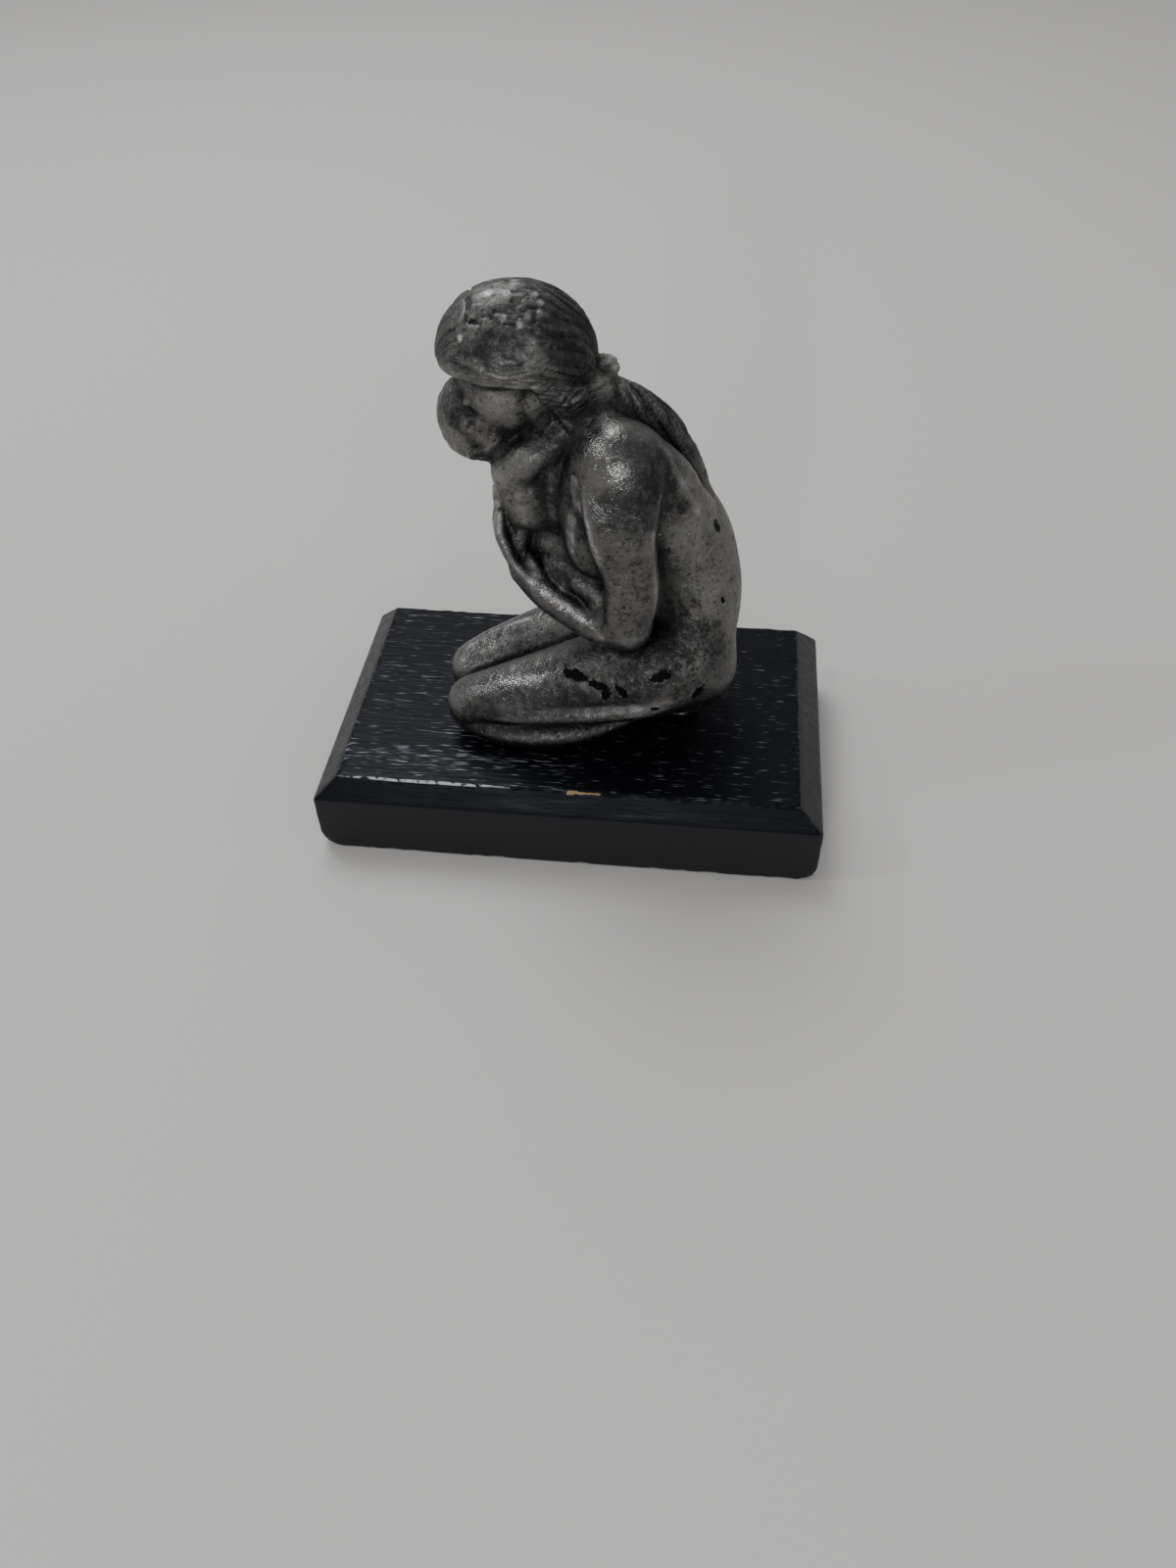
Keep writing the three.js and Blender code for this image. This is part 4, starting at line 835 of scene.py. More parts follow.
def sampled(solid, low, high, cell, reach):
    """Distances on a grid, at every point near the surface and once for each block of points elsewhere."""
    blocks = np.ceil((np.array(high) - low) / (cell * BLOCK)).astype(int)
    middles = np.stack(np.meshgrid(*[np.arange(b) for b in blocks], indexing="ij"), -1).reshape(-1, 3)
    place = np.array(low) + (middles * BLOCK + (BLOCK - 1) / 2) * cell
    coarse = solid(*place.T)
    value = coarse.reshape(blocks)
    for axis in range(3):
        value = value.repeat(BLOCK, axis)
    near = middles[np.abs(coarse) < reach + BLOCK * cell * 0.9]
    inner = np.stack(np.meshgrid(*[np.arange(BLOCK)] * 3, indexing="ij"), -1).reshape(-1, 3)
    nodes = (near[:, None, :] * BLOCK + inner[None]).reshape(-1, 3)
    value[tuple(nodes.T)] = solid(*(np.array(low) + nodes * cell).T)
    return value


def tetrahedra_cases():
    """The edges to join in each of a cube's six tetrahedra, for each way its corners can lie inside."""
    turns = [(0, 1, 2), (1, 2, 0), (2, 0, 1), (0, 2, 1), (2, 1, 0), (1, 0, 2)]
    cases = []
    for number, turn in enumerate(turns):
        for code in range(1, 15):
            order = sorted(range(4), key=lambda c: (not code >> c & 1, c))
            swaps = (number > 2) + sum(order[a] > order[b] for a in range(4) for b in range(a + 1, 4))
            a, b, c, d = order
            inner = bin(code).count("1")
            if inner == 1:
                ring = [(a, b), (a, c), (a, d)]
            elif inner == 3:
                ring = [(a, d), (b, d), (c, d)]
            else:
                ring = [(a, c), (a, d), (b, d), (b, c)]
            if swaps % 2:
                ring.reverse()
            faces = [(ring[0], ring[m - 1], ring[m]) for m in range(2, len(ring))]
            cases.append((turn, code, faces))
    return cases


def skinned(value, low, cell):
    """A closed mesh on the zero of the sampled distances, with one vertex on each cut edge."""
    shape = value.shape
    inside = value < 0
    corners_in = sum(
        inside[i:shape[0] - 1 + i, j:shape[1] - 1 + j, k:shape[2] - 1 + k].astype(np.int8)
        for i in (0, 1) for j in (0, 1) for k in (0, 1)
    )
    cubes = np.argwhere((corners_in > 0) & (corners_in < 8))
    step = np.array([shape[1] * shape[2], shape[2], 1])
    here = cubes @ step
    flat_value, flat_inside = value.ravel(), inside.ravel()
    pairs = []
    codes = {}
    for turn, code, faces in tetrahedra_cases():
        if turn not in codes:
            path = np.cumsum([0, *[step[axis] for axis in turn]])
            corners = here[:, None] + path[None]
            codes[turn] = (corners, (flat_inside[corners] * np.array([1, 2, 4, 8])).sum(1))
        corners, found = codes[turn]
        rows = corners[found == code]
        for face in faces:
            pairs.append(np.stack([np.sort(rows[:, list(edge)], 1) for edge in face], 1))
    edges = np.concatenate(pairs).reshape(-1, 2)
    keys, triangles = np.unique(edges[:, 0] * value.size + edges[:, 1], return_inverse=True)
    a, b = keys // value.size, keys % value.size
    va, vb = flat_value[a], flat_value[b]
    t = np.clip(va / (va - vb), 0.04, 0.96)[:, None]
    pa, pb = (np.stack(np.unravel_index(m, shape), 1) for m in (a, b))
    return np.array(low) + (pa + (pb - pa) * t) * cell, triangles.reshape(-1, 3)


def mesh_of(name, vertices, triangles):
    """A mesh from arrays of places and of triangles."""
    mesh = bpy.data.meshes.new(name)
    mesh.vertices.add(len(vertices))
    mesh.vertices.foreach_set("co", vertices.astype(np.float32).ravel())
    mesh.loops.add(triangles.size)
    mesh.loops.foreach_set("vertex_index", triangles.astype(np.int32).ravel())
    mesh.polygons.add(len(triangles))
    mesh.polygons.foreach_set("loop_start", np.arange(0, triangles.size, 3, dtype=np.int32))
    mesh.update(calc_edges=True)
    return mesh


def blurred(value, width, passes=3):
    """Distances averaged over a cube of so many grid points, a few times over."""
    for _ in range(passes):
        for axis in range(3):
            room = [(width // 2 + 1, width // 2) if m == axis else (0, 0) for m in range(3)]
            padded = np.pad(value, room, "edge")
            total = padded.cumsum(axis)
            ahead = np.take(total, range(width, total.shape[axis]), axis)
            behind = np.take(total, range(0, total.shape[axis] - width), axis)
            value = (ahead - behind) / width
    return value


def looked_up(value, low, cell, points):
    """Grid values at points between the grid's own."""
    place = (points - np.array(low)) / cell
    base = np.clip(np.floor(place).astype(int), 0, np.array(value.shape) - 2)
    f = place - base
    total = 0.0
    for corner in range(8):
        step = np.array([corner >> 2, corner >> 1 & 1, corner & 1])
        weight = np.prod(np.where(step, f, 1 - f), axis=1)
        total = total + weight * value[tuple((base + step).T)]
    return total


# Marks on the metal, stored on its mesh for the material.

def in_casting_frame(mesh):
    """The mesh's vertices in millimetres in the casting's own frame."""
    co = np.zeros(len(mesh.vertices) * 3, np.float32)
    mesh.vertices.foreach_get("co", co)
    back = np.array(casting_place().inverted())
    return (co.reshape(-1, 3).astype(float) @ back[:3, :3].T + back[:3, 3]) / MM


def spread_over(places, points, reach):
    """How strongly round places [x, y, z, radius, strength] mark each point, with uneven edges."""
    uneven = 1 + 0.45 * SURFACE_NOISE(*(points * 0.22).T) + 0.35 * SURFACE_NOISE(*(points * 0.7).T)
    left = np.ones(len(points))
    for x, y, z, radius, strength in places:
        far = np.linalg.norm(points - (x, y, z), axis=1) / radius * uneven
        left *= 1 - strength * smooth_step(far, 1.0 + reach, 1.0 - reach)
    return 1 - left


def along_lines(lines, points):
    """How strongly lines mark each point, with uneven edges."""
    uneven = 1 + 0.5 * SURFACE_NOISE(*(points * 0.3).T) + 0.5 * SURFACE_NOISE(*(points * 0.9).T)
    left = np.ones(len(points))
    for line, half_width, strength in lines:
        beside = limb([[*p, 0.0] for p in line])(*points.T.copy())
        left *= 1 - strength * smooth_step(beside / half_width * uneven, 1.5, 0.5)
    return 1 - left


def hollows_and_ridges(value, low, cell, points):
    """How hollow and how ridged the surface is at each point, from the distances round it."""
    half = np.clip(value[::2, ::2, ::2], -4, 4)
    tight = looked_up(blurred(half, 3), low, cell * 2, points)
    wide = looked_up(blurred(half, 7), low, cell * 2, points)
    hollow = np.clip(-tight / 0.28, 0, 1) * 0.5 + np.clip(-wide / 1.0, 0, 1) * 0.5
    return hollow, np.clip(tight / 0.35 - 0.25, 0, 1)


def stain_shade_wear_and_highlights(points):
    """How stained and shaded, and how worn and highlit, the metal is at each point. The stains and dark
    lines are partly and the strokes and finger gaps wholly painted shade; the worn lines are partly and the
    glints wholly painted highlights.
    """
    folded = points.copy()
    folded[:, 1] = np.abs(folded[:, 1])
    # Painted shade in the strokes of the hair and in the gaps between the fingers.
    strokes = along_lines([(line, 0.34, 0.85) for line in HAIR_STROKES], folded)
    strokes = np.maximum(strokes, along_lines([(line, 0.45, 0.7) for line in finger_gaps()], points))
    # Painted highlights: the glints in the hair.
    glints = spread_over([(*spot, 0.6, 1.0) for spot in HAIR_GLINTS], folded, 0.3)
    clean = (1 - spread_over(STAINS_AND_SHADE, points, 0.28)) * (1 - along_lines(SHADE_LINES, points)) * (1 - strokes)
    return 1 - clean, np.maximum(along_lines(WORN_AND_LIT_LINES, points), glints)


def hair_marks(points):
    """How far each point belongs to the hair, and its place across and along the strands in millimetres."""
    x, y, z = points.T.copy()
    along, angle = combed(x, y, z)
    across, run = strand_place(along, angle)
    on_head = smooth_step(hair_cap()(x, y, z), 1.2, 0.7) * smooth_step(above_hairline(x, z), -0.2, 0.3)
    down, twist = tail_twist(x, y, z)
    tied = np.minimum(tail_outline()(x, y, z), knot_outline()(x, y, z))
    on_tail = smooth_step(tied, 1.3, 0.8) * (x > 1.0)
    on_side = smooth_step(side_hair()(x, y, z), 1.0, 0.5)
    beside, fall = side_strands(x, y, z)
    comb = np.stack([across, run, angle * 3], 1)
    comb = np.where((on_side > on_head)[:, None], np.stack([beside, fall, 0 * x + 90], 1), comb)
    comb = np.where((on_tail > on_head)[:, None], np.stack([twist * 3.0, down, 0 * x + 60], 1), comb)
    return np.maximum(np.maximum(on_head, on_side), on_tail), comb


def mark_metal(mesh, value, low, cell):
    """Stores on each vertex all that the metal's material reads."""
    points = in_casting_frame(mesh)
    marks = {}
    marks["hollow"], marks["ridge"] = hollows_and_ridges(value, low, cell, points)
    # The stain mark holds painted shade as well as stains, and the worn mark painted highlights as well as
    # wear.
    marks["stain_and_shade"], marks["worn"] = stain_shade_wear_and_highlights(points)
    marks["dull"] = spread_over(DULL_PLACES, points, 0.4)
    # The shine mark makes places glossier and adds a painted highlight to them.
    marks["gloss_highlight"] = spread_over(GLOSSY_HIGHLIGHT_PLACES, points, 0.5)
    marks["hair"], comb = hair_marks(points)
    for name, values in marks.items():
        layer = mesh.attributes.new(name, "FLOAT", "POINT")
        layer.data.foreach_set("value", values.astype(np.float32))
    layer = mesh.attributes.new("comb", "FLOAT_VECTOR", "POINT")
    layer.data.foreach_set("vector", comb.astype(np.float32).ravel())


# Node trees.

def node(tree, kind, settings=None, inputs=None):
    """A node with its settings, and its inputs by name or number: sockets are linked and values set."""
    made = tree.nodes.new(kind)
    for name, value in (settings or {}).items():
        setattr(made, name, value)
    for name, value in (inputs or {}).items():
        if isinstance(value, bpy.types.NodeSocket):
            tree.links.new(value, made.inputs[name])
        else:
            made.inputs[name].default_value = value
    return made


def calc(tree, operation, *values, clamp=False):
    """One arithmetic step on sockets or numbers."""
    inputs = dict(enumerate(values))
    return node(tree, "ShaderNodeMath", {"operation": operation, "use_clamp": clamp}, inputs).outputs[0]


def in_turn(tree, operation, values, clamp):
    """The same arithmetic step over several sockets or numbers. Only the last step clamps."""
    result = values[0]
    for value in values[1:-1]:
        result = calc(tree, operation, result, value)
    return calc(tree, operation, result, values[-1], clamp=clamp)


def plus(tree, *values, clamp=False):
    """The sum of sockets or numbers."""
    return in_turn(tree, "ADD", values, clamp)


def times(tree, *values, clamp=False):
    """The product of sockets or numbers."""
    return in_turn(tree, "MULTIPLY", values, clamp)


def minus(tree, first, second):
    """What is left of the first without the second."""
    return calc(tree, "SUBTRACT", first, second)


def between(tree, value, low, high, to_low=0.0, to_high=1.0):
    """A value's place between two limits, clamped."""
    made = node(tree, "ShaderNodeMapRange", {"clamp": True}, {
        "Value": value, "From Min": low, "From Max": high, "To Min": to_low, "To Max": to_high,
    })
    return made.outputs[0]


def noise(tree, place, scale, detail, rough=0.5):
    """Smooth noise, about 0.3 to 0.7."""
    made = node(tree, "ShaderNodeTexNoise", None, {
        "Vector": place, "Scale": scale, "Detail": detail, "Roughness": rough,
    })
    return made.outputs[0]


def read(tree, name, output="Fac"):
    """An attribute of the mesh."""
    return node(tree, "ShaderNodeAttribute", {"attribute_name": name}).outputs[output]


def parts_of(tree, place):
    """The X, Y and Z of a place."""
    return node(tree, "ShaderNodeSeparateXYZ", None, {0: place}).outputs


def layered(tree, base, *layers):
    """A colour with others laid over it, each given as its share and its colour."""
    colour = (*base, 1)
    for share, over in layers:
        made = node(tree, "ShaderNodeMix", {"data_type": "RGBA"}, {0: share, 6: colour, 7: (*over, 1)})
        colour = made.outputs[2]
    return colour


def how_far(tree, place, middle, size, turn=(0, 0, 0)):
    """How far a place is from the middle of an egg, 1 on its skin."""
    moved = node(tree, "ShaderNodeMapping", {"vector_type": "TEXTURE"}, {
        "Vector": place, "Location": middle, "Rotation": turn, "Scale": size,
    }).outputs[0]
    return node(tree, "ShaderNodeVectorMath", {"operation": "LENGTH"}, {0: moved}).outputs["Value"]


def new_material(name):
    """A material with a plain shader: the material, its tree and the shader."""
    material = bpy.data.materials.new(name)
    material.use_nodes = True
    tree = material.node_tree
    tree.nodes.clear()
    shader = tree.nodes.new("ShaderNodeBsdfPrincipled")
    out = tree.nodes.new("ShaderNodeOutputMaterial")
    tree.links.new(shader.outputs[0], out.inputs["Surface"])
    return material, tree, shader


def finish_material(tree, shader, colour, rough, height, relief):
    """Links a shader's colour and roughness, and its bump of the given relief."""
    tree.links.new(colour, shader.inputs["Base Color"])
    tree.links.new(rough, shader.inputs["Roughness"])
    bump = node(tree, "ShaderNodeBump", None, {"Strength": 0.8, "Distance": relief, "Height": height})
    tree.links.new(bump.outputs[0], shader.inputs["Normal"])


# The metal.

def strands(tree, comb, across, along):
    """Noise that is drawn out along the hair."""
    drawn = node(tree, "ShaderNodeMapping", None, {"Vector": comb, "Scale": (across, along, 0.3)})
    return noise(tree, drawn.outputs[0], 1.0, 3.0)


def chip_mask(tree, place, ragged):
    """How far inside a chip each point is, 0 at its ragged edge and 1 inside, and a thin rim round it."""
    nearest = 99.0
    for spot, size, lean in CHIPS:
        far = how_far(tree, place, in_world(spot), (size[0] * MM, 3 * MM, size[1] * MM),
                      (0, math.radians(lean), CASTING_TURN))
        nearest = calc(tree, "MINIMUM", far, nearest)
    edge = plus(tree, nearest, ragged)
    return between(tree, edge, 1.05, 0.92), between(tree, edge, 1.50, 1.15)


def metal_sockets(tree):
    """What the metal's colour, gloss and relief share: the mesh's marks, and patterns made from them."""
    place = node(tree, "ShaderNodeTexCoord").outputs["Object"]
    names = ("hollow", "ridge", "stain_and_shade", "dull", "hair", "gloss_highlight", "worn")
    at = {name: read(tree, name) for name in names}
    comb = read(tree, "comb", "Vector")
    _, along, angle = parts_of(tree, comb)
    at["place"] = place
    at["fine_strands"], at["locks"] = strands(tree, comb, 1.9, 0.16), strands(tree, comb, 0.7, 0.12)
    at["crown"] = times(
        tree, between(tree, calc(tree, "ABSOLUTE", angle), 3.4, 2.6), at["hair"],
        between(tree, along, 3.5, 6.0), between(tree, along, 19.0, 15.0),
    )
    at["mottled"] = noise(tree, place, 420, 5, 0.7)
    at["flecks"] = between(tree, noise(tree, place, 1700, 2, 0.55), 0.63, 0.72)
    ragged = times(tree, minus(tree, noise(tree, place, 900, 3, 0.7), 0.5), 2.2)
    at["chip"], at["rim"] = chip_mask(tree, place, ragged)
    return at


def metal_darkness_and_shade(tree, at):
    """How dark the metal is: speckled and stained, with painted shade in the hollows, in the stained places
    and between the strands of hair.
    """
    patches = between(tree, at["mottled"], 0.46, 0.62)
    specks = between(tree, noise(tree, at["place"], 1400, 3, 0.7), 0.55, 0.66)
    clouds = between(tree, noise(tree, at["place"], 130, 3, 0.6), 0.45, 0.65)
    broken = between(tree, noise(tree, at["place"], 800, 4, 0.7), 0.36, 0.60, 0.30, 1.0)
    # Painted shade in the furrows between the strands of hair.
    lines = times(tree, between(tree, at["fine_strands"], 0.46, 0.36), at["hair"],
                  between(tree, at["crown"], 0.0, 1.0, 0.50, 0.10))
    return plus(
        tree, times(tree, patches, 0.34), times(tree, specks, 0.62), times(tree, clouds, 0.14),
        # Painted shade in the hollows and in the stained places, besides the stains themselves.
        times(tree, at["hollow"], 0.66), lines, times(tree, at["hair"], 0.05),
        times(tree, at["stain_and_shade"], broken), clamp=True,
    )


def metal_wear_and_highlights(tree, at):
    """How far the metal is made bright: rubbed on ridges and in flecks, with a painted highlight where
    hands polish it, along the worn lines, which are partly painted highlights, and at the hair's glints,
    which are painted highlights.
    """
    ridges = times(tree, at["ridge"], between(tree, at["mottled"], 0.36, 0.55, 0.25, 0.85))
    bright = plus(tree, ridges, times(tree, at["flecks"], 0.42), times(tree, at["gloss_highlight"], 0.22))
    bright = times(tree, bright, between(tree, at["hair"], 0.0, 1.0, 1.0, 0.6))
    # The worn lines are partly and the glints wholly painted highlights.
    bright = plus(tree, bright, times(tree, at["worn"], between(tree, at["mottled"], 0.40, 0.58, 0.3, 1.0)))
    return times(tree, bright, between(tree, at["stain_and_shade"], 0.0, 1.0, 1.0, 0.35), clamp=True)


def metal_gloss(tree, at):
    """The metal's roughness."""
    rough = between(tree, noise(tree, at["place"], 600, 3, 0.55), 0.35, 0.65, 0.29, 0.43)
    rough = plus(tree, rough, times(tree, at["hollow"], 0.25), times(tree, at["dull"], 0.22))
    rough = minus(tree, rough, times(tree, at["ridge"], 0.06))
    rough = plus(tree, rough, times(tree, at["hair"], 0.13))
    return minus(tree, rough, times(tree, at["gloss_highlight"], 0.17))


def metal_relief(tree, at):
    """The metal's fine relief: a cast skin, strands in the hair, and the sunk chips."""
    place = at["place"]
    skin = plus(tree, noise(tree, place, 1000, 4, 0.6), noise(tree, place, 2600, 2, 0.6),
                times(tree, noise(tree, place, 380, 3, 0.55), 1.6))
    skin = times(tree, skin, between(tree, at["hair"], 0.0, 1.0, 1.0, 0.6))
    hair = plus(tree, times(tree, at["fine_strands"], 3.0), times(tree, at["locks"], 5.0))
    hair = times(tree, hair, between(tree, at["crown"], 0.0, 1.0, 1.0, 0.12), at["hair"])
    return minus(tree, plus(tree, skin, hair), times(tree, at["chip"], 1.5))


def cast_metal(settings):
    """Dark grey satin metal: stained, with painted shade in hollows and creases, brighter on worn ridges,
    with painted highlights along lit edges, black where it has chipped.
    """
    material, tree, shader = new_material("cast_metal")
    at = metal_sockets(tree)
    colour = layered(
        tree, settings.metal_colour, (at["dull"], settings.dull_colour),
        (times(tree, metal_darkness_and_shade(tree, at), 0.93), settings.shade_and_dark_colour),
        (metal_wear_and_highlights(tree, at), settings.worn_and_highlight_colour),
        (times(tree, at["rim"], at["flecks"]), settings.worn_and_highlight_colour), (at["chip"], settings.chip_colour),
    )
    shader.inputs["Metallic"].default_value = 1.0
    finish_material(tree, shader, colour, metal_gloss(tree, at), metal_relief(tree, at), 0.14 * MM)
    return material


# The paint and the floor.

def drawn_out(tree, place, share):
    """Places for a pattern that runs long along X, with that length shrunk to a share."""
    return node(tree, "ShaderNodeMapping", None, {"Vector": place, "Scale": (share, 1, 1)}).outputs[0]


def painted_ripple_glints(tree, place):
    """Painted glints on small ripples in the paint of the top, mostly in rows at its front left, where the
    light catches them.
    """
    x, y, z = parts_of(tree, place)
    wavy = times(tree, minus(tree, noise(tree, place, 200, 2), 0.5), 1.0 * MM)
    aside = node(tree, "ShaderNodeCombineXYZ", None, {1: wavy}).outputs[0]
    short = node(tree, "ShaderNodeVectorMath", {"operation": "ADD"}, {
        0: drawn_out(tree, place, 0.075), 1: aside,
    }).outputs[0]
    rows = times(
        tree, between(tree, noise(tree, short, 190, 2), 0.40, 0.66),
        between(tree, x, -22 * MM, 10 * MM, 1.0, 0.15), between(tree, y, 2 * MM, -17 * MM, 0.35, 1.0),
    )
    ripples = plus(tree, noise(tree, short, 3400, 1), times(tree, rows, 0.16))
    on_top = between(tree, z, PLINTH_HIGH.z - 0.5 * MM, PLINTH_HIGH.z - 0.2 * MM)
    return times(tree, between(tree, ripples, 0.68, 0.86), on_top)


def lit_end_bevels(tree, place, below):
    """1 on the two end bevels, which are painted lighter as if lit, and lie where the way to the end is
    shorter than the way to the side.
    """
    x, y, _ = parts_of(tree, place)
    to_end = minus(tree, PLINTH_HIGH.x, calc(tree, "ABSOLUTE", x))
    to_side = minus(tree, PLINTH_HIGH.y, calc(tree, "ABSOLUTE", y))
    # Each way counts against its own bevel's width.
    nearer = minus(tree, calc(tree, "DIVIDE", to_side, SIDE_BEVEL), calc(tree, "DIVIDE", to_end, END_BEVEL))
    return times(tree, between(tree, nearer, 0.0, 0.06), between(tree, to_end, 4.95 * MM, 4.8 * MM),
                 minus(tree, 1.0, below))


def chipped_paint(tree, place, ragged):
    """1 where the paint has come off the front edge of the top."""
    nearest = 9.0
    for x, size in ((1.4, (1.1, 0.5, 0.9)), (4.2, (3.1, 0.3, 0.7))):
        middle = (x * MM, PLINTH_LOW.y + SIDE_BEVEL, PLINTH_HIGH.z)
        nearest = calc(tree, "MINIMUM", how_far(tree, place, middle, [s * MM for s in size]), nearest)
    return between(tree, plus(tree, nearest, times(tree, ragged, 2.0)), 1.0, 0.8)


def rubbed_and_lit_edge(tree, place, broken):
    """1 along the bare, rubbed stretch of the top's front edge, which also carries a painted highlight."""
    middle = (-27.5 * MM, PLINTH_LOW.y + SIDE_BEVEL + 0.1 * MM, PLINTH_HIGH.z)
    far = how_far(tree, place, middle, (19 * MM, 0.34 * MM, 0.8 * MM))
    return times(tree, between(tree, far, 1.0, 0.75), between(tree, broken, 0.36, 0.50))


def black_paint(settings):
    """Satin black paint over straight grain, with painted glints on its ripples, wear along the upper edges
    and a painted highlight on the front one, and duller sides and end bevels painted lighter as if lit.
    """
    material, tree, shader = new_material("black_painted_wood")
    place = node(tree, "ShaderNodeTexCoord").outputs["Object"]
    grain = drawn_out(tree, place, 0.1)
    below = between(tree, parts_of(tree, place)[2], PLINTH_HIGH.z - 4.4 * MM, PLINTH_HIGH.z - 4.8 * MM)
    broken = between(tree, noise(tree, place, 500, 3), 0.48, 0.66, 0.0, 0.3)
    rubbed = times(tree, read(tree, "edge_wear"), broken)
    chip = chipped_paint(tree, place, minus(tree, noise(tree, place, 800, 3), 0.5))
    colour = layered(
        tree, settings.paint_colour, (below, settings.side_paint_and_light_colour),
        (lit_end_bevels(tree, place, below), settings.end_light_colour),
        (painted_ripple_glints(tree, place), settings.ripple_glint_colour), (rubbed, settings.rubbed_colour),
        (rubbed_and_lit_edge(tree, place, noise(tree, place, 900, 2)), settings.glint_colour),
        (chip, settings.wood_colour),
    )
    rough = between(tree, noise(tree, grain, 700, 4), 0.35, 0.65, 0.30, 0.44)
    rough = plus(tree, rough, times(tree, rubbed, 0.1))
    height = plus(tree, noise(tree, grain, 900, 4), times(tree, noise(tree, grain, 2400, 4), 0.6))
    shader.inputs["Specular IOR Level"].default_value = 0.11
    shader.inputs["Specular Tint"].default_value = (0.80, 0.87, 1.0, 1)
    finish_material(tree, shader, colour, rough, height, 0.15 * MM)
    return material


def pale_floor(settings):
    """The floor's pale, dull finish."""
    material, _, shader = new_material("pale_floor")
    shader.inputs["Base Color"].default_value = (*settings.floor_colour, 1)
    shader.inputs["Roughness"].default_value = 0.9
    return material


# Geometry Nodes trees.

def new_tree(name, sockets):
    """An empty geometry tree with its inputs. sockets holds (name, socket type, default)."""
    tree = bpy.data.node_groups.new(name, "GeometryNodeTree")
    for label, kind, default in sockets:
        socket = tree.interface.new_socket(label, in_out="INPUT", socket_type=kind)
        if default is not None:
            socket.default_value = default
    tree.interface.new_socket("Geometry", in_out="OUTPUT", socket_type="NodeSocketGeometry")
    return tree, tree.nodes.new("NodeGroupInput").outputs, tree.nodes.new("NodeGroupOutput")


def set_inputs(modifier, tree, values):
    """Sets a modifier's inputs by the sockets' own identifiers."""
    for item in tree.interface.items_tree:
        if item.item_type == "SOCKET" and item.in_out == "INPUT" and item.name in values:
            modifier[item.identifier] = values[item.name]


def applied(obj):
    """The object with its modifiers made real in a plain mesh."""
    bpy.context.view_layer.update()
    graph = bpy.context.evaluated_depsgraph_get()
    mesh = bpy.data.meshes.new_from_object(obj.evaluated_get(graph))
    old = obj.data
    obj.modifiers.clear()
    obj.data = mesh
    mesh.name = obj.name
    bpy.data.meshes.remove(old)
    return obj


def new_object(name, data):
    """An object in the scene for a mesh, a light or a camera."""
    obj = bpy.data.objects.new(name, data)
    bpy.context.scene.collection.objects.link(obj)
    return obj


def finish_tree(tree, out, geometry, sink, material):
    """Sinks the mesh along its normals, sets its material, and makes all of it real."""
    offset = node(tree, "ShaderNodeVectorMath", {"operation": "SCALE"}, {
        0: node(tree, "GeometryNodeInputNormal").outputs[0], "Scale": times(tree, sink, -1.0),
    }).outputs[0]
    moved = node(tree, "GeometryNodeSetPosition", None, {"Geometry": geometry, "Offset": offset})
    shown = node(tree, "GeometryNodeSetMaterial", None, {
        "Geometry": moved.outputs[0], "Material": material,
    })
    real = node(tree, "GeometryNodeRealizeInstances", None, {"Geometry": shown.outputs[0]})
    tree.links.new(real.outputs[0], out.inputs[0])


def pitted_tree():
    """Fine casting pits and a slight unevenness, worked into the mesh along its normals."""
    tree, inputs, out = new_tree("casting_pits", [
        ("Geometry", "NodeSocketGeometry", None),
        ("Pit Depth", "NodeSocketFloat", 0.25 * MM),
        ("Pit Spacing", "NodeSocketFloat", 1.9 * MM),
        ("Unevenness", "NodeSocketFloat", 0.06 * MM),
        ("Material", "NodeSocketMaterial", None),
    ])
    place = node(tree, "GeometryNodeInputPosition").outputs[0]
    cells = node(tree, "ShaderNodeTexVoronoi", None, {
        "Vector": place, "Scale": calc(tree, "DIVIDE", 1.0, inputs["Pit Spacing"]),
    }).outputs
    chosen = node(tree, "FunctionNodeSeparateColor", None, {0: cells["Color"]}).outputs[0]
    pit = times(tree, between(tree, cells["Distance"], 0.26, 0.10), between(tree, chosen, 0.80, 0.95))
    wavy = noise(tree, place, 330.0, 3.0)
    sink = plus(tree, times(tree, pit, inputs["Pit Depth"]), times(tree, wavy, inputs["Unevenness"]))
    finish_tree(tree, out, inputs["Geometry"], sink, inputs["Material"])
    return tree


# The block that the plinth is shaped from has so many vertices in its height. The share of the height at
# which the bevels start falls on one of them.
BLOCK_LEVELS = 41
STRAIGHT_SHARE = 0.7


